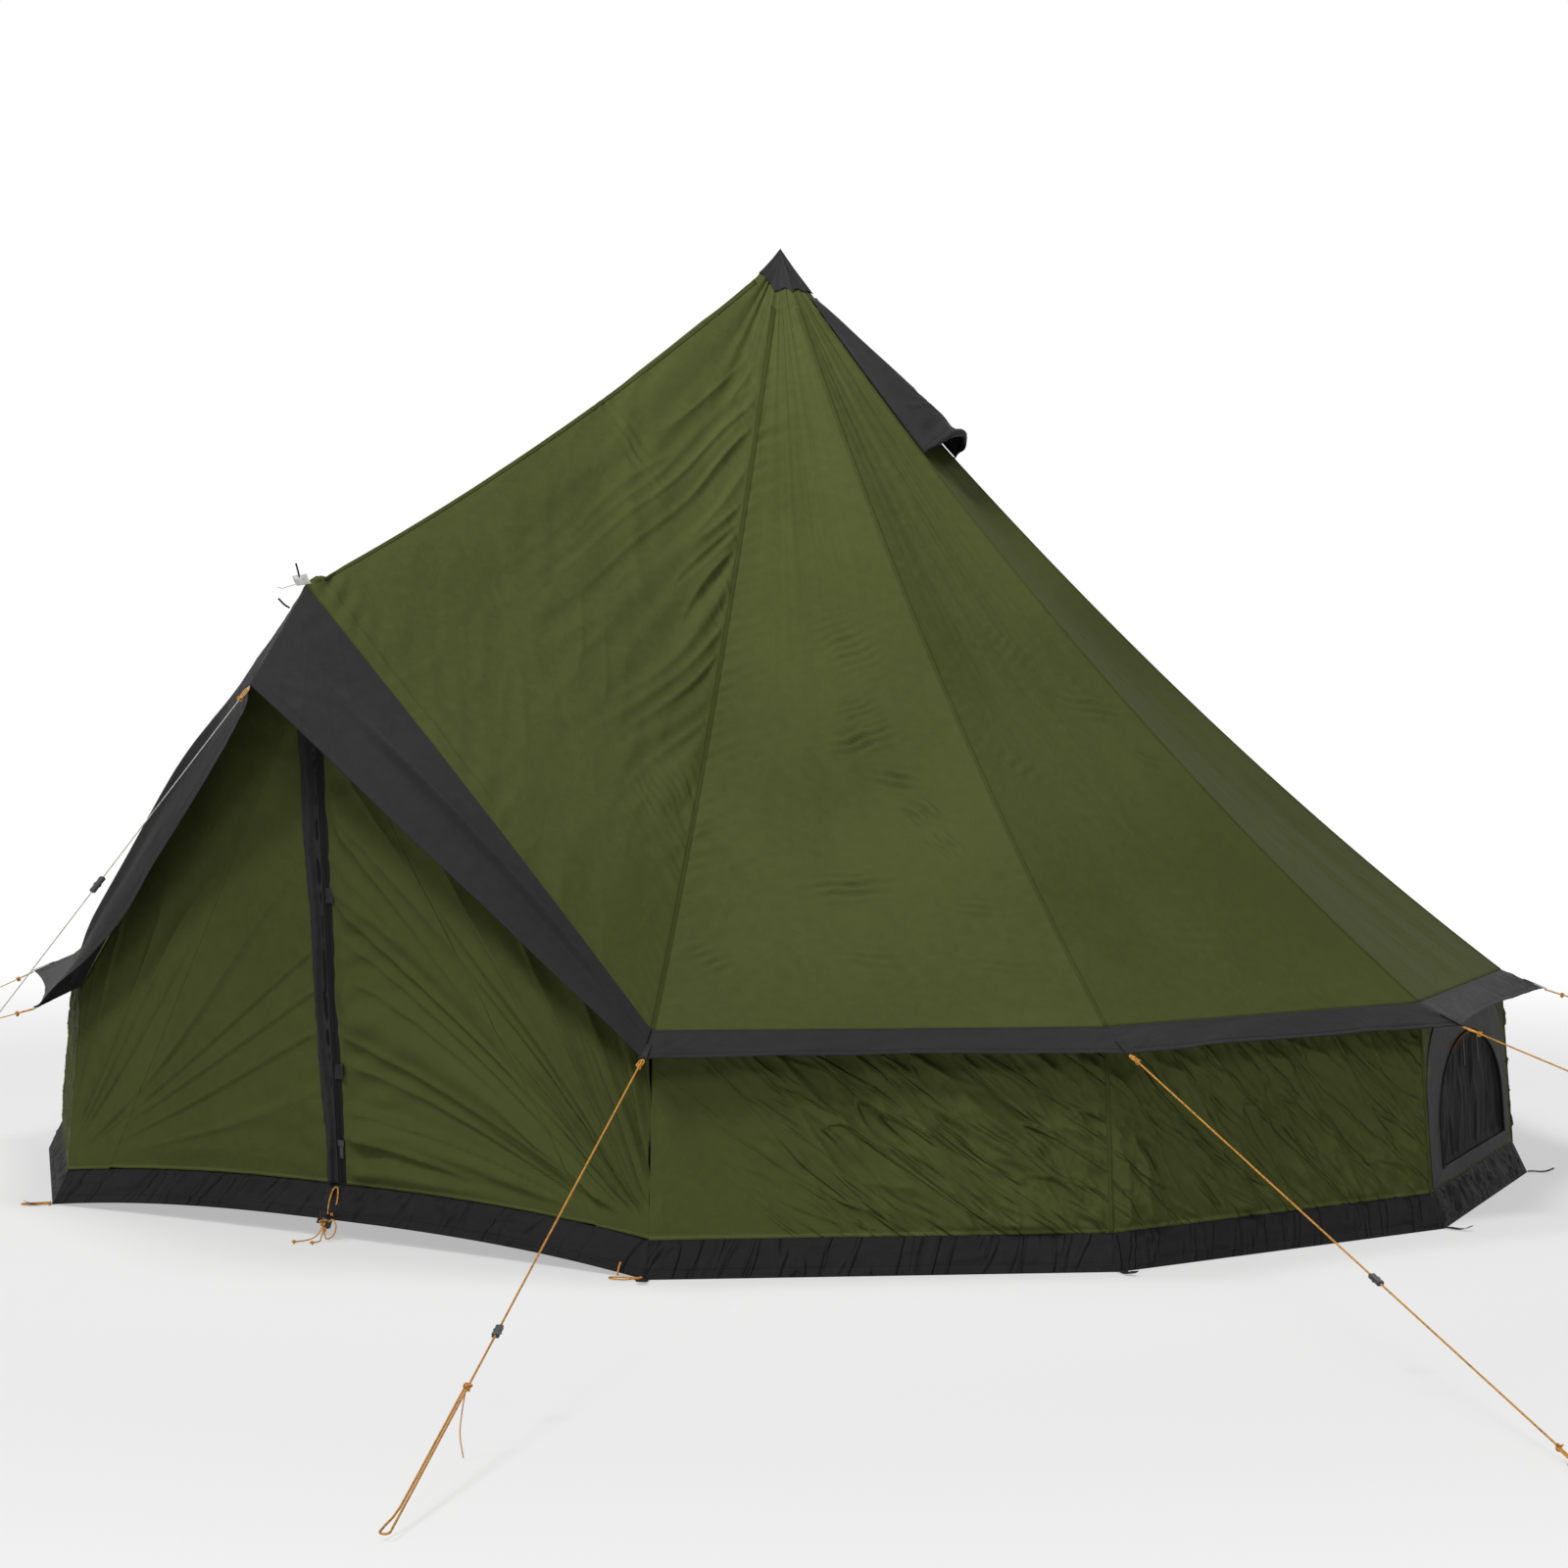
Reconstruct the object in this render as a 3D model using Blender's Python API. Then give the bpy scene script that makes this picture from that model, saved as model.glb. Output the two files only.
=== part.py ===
"""Tipi tent with a centre pole, low upright walls, an A-shaped door and a roof vent.

Metres, +Z up, the door faces -Y and the ground is z = 0.
"""

from math import atan2, cos, hypot, pi, radians, sin

import bmesh
import bpy
from mathutils import Matrix, Vector

# Main sizes of the tent
ROOF_TOP = 2.49
BASE_RADIUS = 2.05
SIDE_COUNT = 10
SHOWN_SIDES = 3
DOOR_ANGLE = radians(55.0)
EAVE_HEIGHT = 0.55
BAND_HEIGHT = 0.082

# How far the upright cloth leans in, and the edge band reaches out and down
BAND_LEAN = 0.040
WALL_LEAN = 0.035
SKIRT_REACH = 0.115
SKIRT_DROP = 0.050
SKIRT_HOLLOW = 0.035

# Door front: where the roof ridge ends and how far the visor reaches
DOOR_HEAD_INSET = 0.15
DOOR_HEAD_HEIGHT = 1.55
VISOR_OVERHANG = 0.19
VISOR_DROP = 0.23
VISOR_ARCH = 0.012
LEAF_FOOT_MARGIN = 0.157
LEAF_APEX_DROP = 0.19
LEAF_TOP_CUT = 0.03
LEAF_FOOT_CUT = 0.0025
SILL_LIFT = 0.048
SILL_SHAPE = 2.5

# Cloth
CLOTH = 0.003
SLOPE_SHARE = 1.4
FLOOR_CLOTH = 0.004
FLOOR_FLAT = 0.85
GAP = 0.0003
RIDGE_SAG = 0.110
FRONT_SAG = 0.050
PANEL_BOW = 0.025
PANEL_COLUMNS = 6
ROOF_ROWS = 12
BAND_ROWS = 3
WALL_WAVE = 0.008
WALL_FOLDS = 4.5
WALL_SLANT = 1.5
WALL_INSET = 0.002
LEAF_FOLD = 0.012
ZIP_LANE = 0.035
FOLD_RAMP = 0.12
LEAF_COLUMNS = 14
LEAF_ROWS = 18
SIDE_ROWS = 5
FOLD_COUNT = 12.0

# Top cap and vent hood
TOP_HOLE = 0.03
CAP_RADIUS = 0.092
CAP_PEAK = 0.016
CAP_SCALLOP = 0.12
COVER_LIFT = 0.0016
HOOD_SIDE = 2
HOOD_START = 0.004
HOOD_END = 0.245
HOOD_LIFT = 0.095
HOOD_LEAN = 0.65
HOOD_RISE = 0.75
HOOD_CROWN = 0.8

# Centre pole
POLE_RADIUS = 0.016
POLE_WALL = 0.0015
SPIGOT_LENGTH = 0.12
POLE_JOINT_HEIGHT = 1.22
POLE_TOP_GAP = 0.014
POLE_NOSE = 0.020
POLE_NOSE_TIP = 0.004
FOOT_RADIUS = 0.027
FOOT_HEIGHT = 0.045
FOOT_FLANGE = 0.006
FOOT_LIP = 0.004
FOOT_SOCKET = 0.030

# Door pole
DOOR_POLE_RADIUS = 0.008
DOOR_POLE_FOOT_MARGIN = 0.047
DOOR_POLE_HEAD = 1.485
DOOR_POLE_SETBACK = 0.026
DOOR_POLE_HEAD_BACK = 0.012
ELBOW_RADIUS = 0.011
ELBOW_ARM = 0.075
ELBOW_BEND = 0.25

# Door closing
FLAP_WIDTH = 0.050
FLAP_THICKNESS = 0.0025
FLAP_TAPER = 0.6
FLAP_LIFT = 0.004
FLAP_TOP_HEIGHT = 1.24
PULL_HEIGHT = 0.215
PULL_WIDTH = 0.024
PULL_LENGTH = 0.045
PULL_THICKNESS = 0.006
PULL_SIDE = 0.004
PULL_CLEARANCE = 0.0002

# Window in the third side wall
WINDOW_SIDE = 2
WINDOW_WIDTH = 0.78
WINDOW_CENTRE = 0.02
WINDOW_LOW = 0.125
WINDOW_HIGH = 0.43
WINDOW_ARCH = 0.20
SURROUND_SEAM = 0.016
SURROUND_RIGHT_TOP = 0.415
SURROUND_RIGHT_LOW = 0.485
SURROUND_LOW = BAND_HEIGHT + 0.006
SURROUND_HIGH = 0.535
SURROUND_THICKNESS = 0.002
NET_THICKNESS = 0.0015
CUT_REACH = 0.05

# Guy lines
CORD_RADIUS = 0.002
EYE_RADIUS = 0.014
RUNNER_LENGTH = 0.045
RUNNER_WIDTH = 0.014
RUNNER_HEIGHT = 0.010
RUNNER_BORE = 0.0027
RUNNER_ROUND = 0.003

# Guy lines: corner, run outwards, run sideways and height of the far end
GUYS = {
    "guy_line_a": (0, 2.433, 0.038, 0.012),
    "guy_line_b": (1, 2.093, -0.229, 0.012),
    "guy_line_c": (2, 0.311, 0.0, 0.399),
    "guy_line_d": (3, 0.095, 0.0, 0.469),
    "guy_line_y": (9, 0.131, 0.0, 0.437),
    "guy_line_z": (10, 0.122, 0.000, 0.470),
}
FRONT_GUY_RUN = 0.802
FRONT_GUY_HEIGHT = 0.592

# Runners: guy line and share of its length from the tent
RUNNERS = {
    "runner_a": ("guy_line_a", 0.654),
    "runner_b": ("guy_line_b", 0.614),
    "runner_front": ("guy_line_front", 0.600),
}

# Peg straps
STRAP_WIDTH = 0.022
STRAP_THICKNESS = 0.0022
STRAP_LENGTH = 0.070
STRAP_LIFT = 0.010
STRAP_CLEAR = 0.001

# Colours
GREEN = (0.092, 0.118, 0.034)
DARK = (0.030, 0.030, 0.033)
MESH_BLACK = (0.012, 0.012, 0.012)
GREY_STEEL = (0.45, 0.46, 0.47)
FIBRE = (0.10, 0.10, 0.10)
ORANGE = (0.72, 0.33, 0.07)
PLASTIC = (0.02, 0.02, 0.02)

SIDE_ANGLE = (2.0 * pi - DOOR_ANGLE) / SIDE_COUNT
FIRST_CORNER = -pi / 2.0 + DOOR_ANGLE / 2.0
BAND_RADIUS = BASE_RADIUS - BAND_LEAN
EAVE_RADIUS = BAND_RADIUS - WALL_LEAN
SKIRT_RADIUS = EAVE_RADIUS + SKIRT_REACH
SKIRT_HEIGHT = EAVE_HEIGHT - SKIRT_DROP
DOOR_HALF = BASE_RADIUS * sin(DOOR_ANGLE / 2.0)
DOOR_HEAD_REACH = BASE_RADIUS - DOOR_HEAD_INSET
LEAF_FOOT_HALF = DOOR_HALF - LEAF_FOOT_MARGIN
LEAF_APEX_HEIGHT = DOOR_HEAD_HEIGHT - LEAF_APEX_DROP
DOOR_POLE_FOOT_HALF = DOOR_HALF - DOOR_POLE_FOOT_MARGIN
APEX = Vector((0.0, 0.0, ROOF_TOP))
ROOF_DROP = CLOTH * SLOPE_SHARE
DOOR_CHORD = cos(DOOR_ANGLE / 2.0)
HEAD = Vector((0.0, -DOOR_HEAD_REACH, DOOR_HEAD_HEIGHT))
VISOR_TIP = Vector((0.0, -DOOR_HEAD_REACH - VISOR_OVERHANG, DOOR_HEAD_HEIGHT - VISOR_DROP))


def clear_scene():
    """Remove whatever the opened file holds."""
    for old in list(bpy.data.objects):
        bpy.data.objects.remove(old, do_unlink=True)


def make_material(name, colour, roughness, metallic=0.0):
    """One Principled material."""
    material = bpy.data.materials.new(name)
    material.use_nodes = True
    shader = material.node_tree.nodes["Principled BSDF"]
    shader.inputs["Base Color"].default_value = (*colour, 1.0)
    shader.inputs["Roughness"].default_value = roughness
    shader.inputs["Metallic"].default_value = metallic
    return material


def link_object(name, data, material, smooth=False):
    """Put a mesh or a curve in the scene under its part name."""
    piece = bpy.data.objects.new(name, data)
    bpy.context.scene.collection.objects.link(piece)
    if material is not None:
        data.materials.append(material)
    if smooth:
        data.shade_smooth()
        data.set_sharp_from_angle(angle=radians(40.0))
    return piece


def finish_mesh(name, bm, material, smooth=False):
    """Turn a bmesh into a part."""
    bmesh.ops.recalc_face_normals(bm, faces=bm.faces)
    mesh = bpy.data.meshes.new(name)
    bm.to_mesh(mesh)
    bm.free()
    return link_object(name, mesh, material, smooth)


def cloth_panel(name, surface, inner, columns, rows, material):
    """Closed cloth solid: surface(s, t) is its outer side, inner(point) its inner side."""
    bm = bmesh.new()
    bmesh.ops.create_grid(bm, x_segments=columns, y_segments=rows, size=0.5)
    for vert in bm.verts:
        vert.co = surface(vert.co.x + 0.5, vert.co.y + 0.5)
    skin = bmesh.ops.extrude_face_region(bm, geom=bm.faces[:], use_keep_orig=True)
    for item in skin["geom"]:
        if isinstance(item, bmesh.types.BMVert):
            item.co = inner(item.co)
    return finish_mesh(name, bm, material, smooth=True)


def drop_inner(point):
    """Inner side of the roof cloth, straight below its outer side."""
    return point - Vector((0.0, 0.0, ROOF_DROP))


def shrink_inner(point):
    """Inner side of upright cloth, drawn in towards the centre pole."""
    share = 1.0 - CLOTH / (point.xy.length * cos(SIDE_ANGLE / 2.0))
    return Vector((point.x * share, point.y * share, point.z))


def corner_angle(index):
    """Direction of a base corner; corner 0 is the right door corner."""
    return FIRST_CORNER + index * SIDE_ANGLE


def radial(angle, radius, height):
    """Point at a direction, radius and height."""
    return Vector((radius * cos(angle), radius * sin(angle), height))


def side_point(side, s, radius, height):
    """Point on the straight line between two corners, clear of the corner planes."""
    first = corner_angle(side)
    last = corner_angle(side + 1)
    start = radial(first, radius, height)
    end = radial(last, radius, height)
    start += GAP / 2.0 * Vector((-sin(first), cos(first), 0.0))
    end -= GAP / 2.0 * Vector((-sin(last), cos(last), 0.0))
    return start.lerp(end, s)


def wall_radius(height):
    """Outer radius of the wall line at a corner: it leans in from base to eave."""
    top = EAVE_RADIUS - WALL_INSET
    share = (height - BAND_HEIGHT) / (EAVE_HEIGHT - BAND_HEIGHT)
    return BAND_RADIUS + (top - BAND_RADIUS) * share


def slack(t, sag):
    """Drop of the roof cloth below a straight line from top to edge."""
    return sag * 4.0 * t * (1.0 - t)


def roof_point(side, s, t):
    """Outer roof surface of a side panel, t from 0 at the top to 1 at the eave."""
    edge = side_point(side, s, EAVE_RADIUS, EAVE_HEIGHT)
    first = corner_angle(side)
    last = corner_angle(side + 1)
    blend = Vector((-sin(first), cos(first), 0.0)).lerp(Vector((sin(last), -cos(last), 0.0)), s)
    centre = APEX + GAP / 2.0 * blend * (1.0 - t)
    sag = RIDGE_SAG + PANEL_BOW * 4.0 * s * (1.0 - s)
    point = centre.lerp(edge, t)
    point.z -= slack(t, sag)
    return point


def seam_point(sign, s):
    """Roof edge above the door, from the door head at s = 0 to the eave corner at s = 1."""
    eave = radial(FIRST_CORNER, EAVE_RADIUS, EAVE_HEIGHT)
    point = HEAD.lerp(eave, s)
    return Vector((sign * point.x, point.y, point.z))


def door_roof_point(sign, s, t):
    """Outer surface of the roof panel between the front ridge and a door corner."""
    edge = seam_point(sign, s)
    ridge_side = Vector((sign, 0.0, 0.0))
    corner_side = Vector((sign * sin(FIRST_CORNER), -cos(FIRST_CORNER), 0.0))
    shift = GAP / 2.0 * ridge_side.lerp(corner_side, s)
    sag = FRONT_SAG + (RIDGE_SAG - FRONT_SAG) * s + PANEL_BOW * 4.0 * s * (1.0 - s)
    point = APEX.lerp(edge, t) + shift
    point.z -= slack(t, sag)
    return point


def roof_start(side_reach):
    """Share of the slope at which the roof cloth starts beside the pole top."""
    return TOP_HOLE / side_reach


def build_roof(green):
    """Side roof panels, with the edge band of the rear ones sewn on, and the two door panels."""
    start = roof_start(EAVE_RADIUS)
    banded = range(SHOWN_SIDES, SIDE_COUNT - 1)
    for side in range(SIDE_COUNT):
        rows = ROOF_ROWS + BAND_ROWS if side in banded else ROOF_ROWS
        eave_share = ROOF_ROWS / rows

        def surface(s, t, side=side, eave_share=eave_share):
            if t <= eave_share + 1e-6:
                return roof_point(side, s, start + (1.0 - start) * min(t / eave_share, 1.0))
            return skirt_point(side, s, (t - eave_share) / (1.0 - eave_share))

        cloth_panel(f"roof_panel_{side + 1:02d}", surface, drop_inner, PANEL_COLUMNS, rows, green)

    front_start = roof_start(DOOR_HEAD_REACH)
    for sign, label in ((1, "right"), (-1, "left")):

        def surface(s, t, sign=sign):
            return door_roof_point(sign, s, front_start + (1.0 - front_start) * t)

        cloth_panel(f"roof_panel_door_{label}", surface, drop_inner, PANEL_COLUMNS + 2, ROOF_ROWS, green)


def skirt_point(side, s, t):
    """Edge band below the roof, t from 0 at the eave seam to 1 at its hem, hollow between corners."""
    reach = t * (SKIRT_REACH - SKIRT_HOLLOW * 4.0 * s * (1.0 - s))
    return side_point(side, s, EAVE_RADIUS + reach, EAVE_HEIGHT - SKIRT_DROP * t)


def build_skirts(dark):
    """Separate edge bands on the three sides right of the door and the one left of it."""
    seam = 2.0 * GAP / (SKIRT_REACH - SKIRT_HOLLOW)
    for side in (*range(SHOWN_SIDES), SIDE_COUNT - 1):

        def surface(s, t, side=side):
            return skirt_point(side, s, seam + (1.0 - seam) * t)

        cloth_panel(f"edge_band_{side + 1:02d}", surface, drop_inner, PANEL_COLUMNS, BAND_ROWS, dark)


def build_visor(dark):
    """Two halves of the visor over the door, meeting at a fold in the middle."""
    corner = radial(FIRST_CORNER, SKIRT_RADIUS, SKIRT_HEIGHT)
    for sign, label in ((1, "right"), (-1, "left")):

        def surface(s, t, sign=sign):
            top = seam_point(1, s) + Vector((0.0, -2.0 * GAP, 0.0))
            hem = VISOR_TIP.lerp(corner, s)
            point = top.lerp(hem, t)
            point.z += VISOR_ARCH * 4.0 * s * (1.0 - s) * (1.0 - t)
            middle_side = Vector((1.0, 0.0, 0.0))
            corner_side = Vector((sin(FIRST_CORNER), -cos(FIRST_CORNER), 0.0))
            point += GAP / 2.0 * middle_side.lerp(corner_side, s)
            return Vector((sign * point.x, point.y, point.z))

        cloth_panel(f"visor_{label}", surface, drop_inner, 10, 3, dark)


def wall_fold(s, t, side):
    """Depth of the pulled folds in a wall, zero along its edges."""
    edge = sin(pi * s) * sin(pi * t)
    lean = WALL_SLANT if side % 2 else -WALL_SLANT
    return WALL_WAVE * edge * sin(pi * (WALL_FOLDS * s + lean * t) + side)


def build_walls(green):
    """Low upright walls, one for each side."""
    low = BAND_HEIGHT + GAP
    high = EAVE_HEIGHT - ROOF_DROP - GAP
    for side in range(SIDE_COUNT):
        flat = side == WINDOW_SIDE

        def surface(s, t, side=side, flat=flat):
            height = low + (high - low) * t
            point = side_point(side, s, wall_radius(height), height)
            if not flat:
                away = (corner_angle(side) + corner_angle(side + 1)) / 2.0
                point += wall_fold(s, t, side) * Vector((cos(away), sin(away), 0.0))
            return point

        columns = 4 if flat else 10
        rows = 2 if flat else 5
        wall = cloth_panel(f"wall_{side + 1:02d}", surface, shrink_inner, columns, rows, green)
        if flat:
            cut_window(wall)


def window_frame():
    """Centre, right, up and outward directions of the window wall."""
    middle = (corner_angle(WINDOW_SIDE) + corner_angle(WINDOW_SIDE + 1)) / 2.0
    share = cos(SIDE_ANGLE / 2.0)
    base = radial(middle, wall_radius(0.0) * share, 0.0)
    top = radial(middle, (EAVE_RADIUS - WALL_INSET) * share, EAVE_HEIGHT)
    up = (top - base).normalized()
    right = Vector((-sin(middle), cos(middle), 0.0))
    return base, right, up, right.cross(up)


def arch_outline(shrink, steps=8):
    """Window outline with straight sides and an elliptical top, drawn in by shrink."""
    half = WINDOW_WIDTH / 2.0 - shrink
    low = WINDOW_LOW + shrink
    spring = WINDOW_HIGH - WINDOW_ARCH
    rise = WINDOW_ARCH - shrink
    outline = [(WINDOW_CENTRE - half, low), (WINDOW_CENTRE + half, low)]
    for step in range(steps + 1):
        turn = pi * step / steps
        outline.append((WINDOW_CENTRE + half * cos(turn), spring + rise * sin(turn)))
    return outline


def plate(name, outline, near, far, material):
    """Flat plate in the window wall's plane, from depth near to depth far outwards."""
    base, right, up, out = window_frame()
    bm = bmesh.new()
    verts = [bm.verts.new(base + right * x + up * y + out * near) for x, y in outline]
    face = bm.faces.new(verts)
    grown = bmesh.ops.extrude_face_region(bm, geom=[face], use_keep_orig=True)
    moved = [item for item in grown["geom"] if isinstance(item, bmesh.types.BMVert)]
    bmesh.ops.translate(bm, verts=moved, vec=out * (far - near))
    return finish_mesh(name, bm, material)


def hide_cutter(cutter):
    """Keep a cutting shape out of the built model."""
    cutter.hide_render = True
    cutter.display_type = "WIRE"


def cut_with(piece, cutter):
    """Boolean cut that keeps the exact solver."""
    cut = piece.modifiers.new("cut", "BOOLEAN")
    cut.operation = "DIFFERENCE"
    cut.solver = "EXACT"
    cut.object = cutter


def cut_window(wall):
    """Arched hole in the window wall."""
    cutter = plate("window_cutter", arch_outline(0.0), -CUT_REACH, CUT_REACH, None)
    hide_cutter(cutter)
    cut_with(wall, cutter)


def build_window(dark, mesh_black):
    """Mesh in the arched hole and the dark surround sewn on round it."""
    plate("window_mesh", arch_outline(GAP), -NET_THICKNESS - GAP, -GAP, mesh_black)
    left = SURROUND_SEAM - EAVE_RADIUS * sin(SIDE_ANGLE / 2.0)
    outline = [
        (left, SURROUND_LOW), (SURROUND_RIGHT_LOW, SURROUND_LOW),
        (SURROUND_RIGHT_TOP, SURROUND_HIGH), (left, SURROUND_HIGH),
    ]
    surround = plate("window_surround", outline, GAP, GAP + SURROUND_THICKNESS, dark)
    cutter = plate("surround_cutter", arch_outline(0.0), -CUT_REACH, CUT_REACH, None)
    hide_cutter(cutter)
    cut_with(surround, cutter)


def sill_lift(x):
    """Height by which the tray's edge is drawn up at the door."""
    return SILL_LIFT * max(0.0, 1.0 - (abs(x) / DOOR_HALF) ** SILL_SHAPE)


def floor_lift(x, y):
    """Height by which the floor behind the drawn-up edge is raised at a place."""
    out = -y / (BASE_RADIUS * DOOR_CHORD)
    return sill_lift(x / out) * max(0.0, (out - FLOOR_FLAT) / (1.0 - FLOOR_FLAT))


def tray_outline():
    """Places round the tray as direction and share of the corner radius, with more along the door."""
    places = [(corner_angle(index), 1.0) for index in range(SIDE_COUNT + 1)]
    steps = 18
    for step in range(1, steps):
        x = DOOR_HALF * (2.0 * step / steps - 1.0)
        depth = -BASE_RADIUS * DOOR_CHORD
        places.append((2.0 * pi + atan2(depth, x), hypot(x, depth) / BASE_RADIUS))
    return places


def build_groundsheet(dark):
    """Tray floor with an upright band all round, drawn up a little at the door."""
    places = tray_outline()
    rings = [
        (FLOOR_FLAT * BASE_RADIUS, 0.0, 0.0), (BASE_RADIUS, 0.0, 1.0), (BAND_RADIUS, BAND_HEIGHT, 1.0),
        (BAND_RADIUS - CLOTH, BAND_HEIGHT, 1.0), (BASE_RADIUS - CLOTH, FLOOR_CLOTH, 1.0),
        (FLOOR_FLAT * BASE_RADIUS, FLOOR_CLOTH, 0.0),
    ]
    bm = bmesh.new()
    loops = []
    for radius, height, lifted in rings:
        loop = []
        for angle, share in places:
            lift = lifted * sill_lift(BASE_RADIUS * share * cos(angle)) if share < 1.0 else 0.0
            loop.append(bm.verts.new(radial(angle, radius * share, height + lift)))
        loops.append([bm.edges.new(pair) for pair in zip(loop, loop[1:] + loop[:1])])
        if not lifted:
            bm.faces.new(loop)
    for lower, upper in zip(loops, loops[1:]):
        bmesh.ops.bridge_loops(bm, edges=lower + upper)
    return finish_mesh("groundsheet", bm, dark)


def door_plane_y(height):
    """Outer face of the door cloth at a height: it leans out towards the door head."""
    low = -wall_radius(BAND_HEIGHT) * DOOR_CHORD
    high = -DOOR_HEAD_REACH + WALL_INSET
    share = (height - BAND_HEIGHT) / (DOOR_HEAD_HEIGHT - BAND_HEIGHT)
    return low + (high - low) * share


def hinge_x(height):
    """Fold line of a door leaf: from near the base corner up to the middle."""
    share = (height - BAND_HEIGHT) / (LEAF_APEX_HEIGHT - BAND_HEIGHT)
    return LEAF_FOOT_HALF * (1.0 - share)


def leaf_x(s, height):
    """Place across a door leaf: the first column ends where the zip's lane ends."""
    width = hinge_x(height) - GAP
    lane = min(ZIP_LANE, width / LEAF_COLUMNS)
    column = s * LEAF_COLUMNS
    if column <= 1.0:
        return GAP / 2.0 + (lane - GAP / 2.0) * column
    return lane + (width - lane) * (column - 1.0) / (LEAF_COLUMNS - 1.0)


def sill_height(s):
    """Height of a door leaf's lower edge, s from 0 at the zip to 1 at its fold line."""
    cut = LEAF_FOOT_CUT * max(0.0, LEAF_COLUMNS * (s - 1.0) + 1.0)
    height = BAND_HEIGHT + GAP
    for _ in range(4):
        height = BAND_HEIGHT + GAP + cut + sill_lift(leaf_x(s, height))
    return height


def leaf_fold(x, height):
    """Depth of the folds that a door corner pulls into a leaf, none beside the zip or the edges."""
    room = hinge_x(height) - x
    near_zip = min(max((x - ZIP_LANE) / FOLD_RAMP, 0.0), 1.0)
    near_edge = min(max(room / FOLD_RAMP, 0.0), 1.0)
    rise = (height - BAND_HEIGHT - SILL_LIFT) / FOLD_RAMP
    turn = atan2(height - BAND_HEIGHT + FOLD_RAMP, DOOR_HALF - x)
    return LEAF_FOLD * near_zip * near_edge * min(max(rise, 0.0), 1.0) * sin(FOLD_COUNT * turn)


def build_door(green):
    """Two door leaves that fold in along their slanted edges, and the cloth fixed beside them."""
    low = BAND_HEIGHT + GAP
    leaf_high = LEAF_APEX_HEIGHT - LEAF_TOP_CUT
    head = DOOR_HEAD_HEIGHT - ROOF_DROP - 2.0 * GAP
    eave = EAVE_HEIGHT - ROOF_DROP - GAP
    seam_run = EAVE_RADIUS * sin(DOOR_ANGLE / 2.0) / (DOOR_HEAD_HEIGHT - EAVE_HEIGHT)
    eave_depth = (EAVE_RADIUS - WALL_INSET) * DOOR_CHORD
    rise = (leaf_high - eave) / SIDE_ROWS
    levels = [low, 0.5 * (low + eave), *(eave + rise * row for row in range(SIDE_ROWS + 1))]
    levels += [LEAF_APEX_HEIGHT, 0.5 * (LEAF_APEX_HEIGHT + head), head]
    for sign, label in ((1, "right"), (-1, "left")):

        def leaf_surface(s, t, sign=sign):
            foot = sill_height(s)
            height = foot + (leaf_high - foot) * t
            x = leaf_x(s, height)
            return Vector((sign * x, door_plane_y(height) - leaf_fold(x, height), height))

        cloth_panel(f"door_leaf_{label}", leaf_surface, shrink_inner, LEAF_COLUMNS, LEAF_ROWS, green)

        def fixed_surface(s, t, sign=sign):
            row = min(int(t * (len(levels) - 1) + 1e-6), len(levels) - 2)
            share = t * (len(levels) - 1) - row
            height = levels[row] + (levels[row + 1] - levels[row]) * share
            near_x = max(hinge_x(height), 0.0) + GAP
            near = Vector((near_x, door_plane_y(height), height))
            if height <= eave + 1e-6:
                corner = radial(FIRST_CORNER, wall_radius(height), height)
                far = Vector((corner.x - GAP, corner.y, height))
            else:
                far_x = (DOOR_HEAD_HEIGHT - ROOF_DROP - GAP - height) * seam_run
                lean = (far_x / (EAVE_RADIUS * sin(DOOR_ANGLE / 2.0)))
                far_y = -(DOOR_HEAD_REACH - WALL_INSET) * (1.0 - lean) - eave_depth * lean
                far = Vector((far_x, far_y, height))
            point = near.lerp(far, s)
            if row == 0:
                lift = sill_lift(point.x) * (1.0 - share)
                point.y += (door_plane_y(height + lift) - door_plane_y(height)) * (1.0 - s)
                point.z += lift
                point.x -= lift * LEAF_FOOT_HALF / (LEAF_APEX_HEIGHT - BAND_HEIGHT) * (1.0 - s)
            return Vector((sign * point.x, point.y, point.z))

        cloth_panel(f"door_side_{label}", fixed_surface, shrink_inner, 5, len(levels) - 1, green)


def build_closing(dark, plastic):
    """Storm flap on the left leaf and the zip pull on the right leaf."""
    low = BAND_HEIGHT + GAP

    def flap_surface(s, t):
        x = -GAP - FLAP_WIDTH * (1.0 - s) * (FLAP_TAPER + (1.0 - FLAP_TAPER) * t)
        foot = low + sill_lift(x)
        height = foot + (FLAP_TOP_HEIGHT - foot) * t
        return Vector((x, door_plane_y(height) - GAP - FLAP_THICKNESS - FLAP_LIFT * (1.0 - s), height))

    def flap_inner(point):
        return point + Vector((0.0, FLAP_THICKNESS, 0.0))

    cloth_panel("storm_flap", flap_surface, flap_inner, 3, 12, dark)

    bm = bmesh.new()
    bmesh.ops.create_cube(bm, size=1.0)
    bmesh.ops.scale(bm, verts=bm.verts, vec=(PULL_WIDTH, PULL_THICKNESS, PULL_LENGTH))
    bmesh.ops.bevel(bm, geom=bm.edges[:], offset=PULL_THICKNESS / 4.0, segments=1, affect="EDGES")
    pull = finish_mesh("zip_pull", bm, plastic)
    pull.rotation_mode = "QUATERNION"
    pull.rotation_quaternion = Vector((0.0, 0.0, 1.0)).rotation_difference(zip_direction())
    away = GAP + PULL_THICKNESS / 2.0 + PULL_CLEARANCE
    pull.location = Vector((PULL_SIDE + PULL_WIDTH / 2.0, door_plane_y(PULL_HEIGHT) - away, PULL_HEIGHT))


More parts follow.
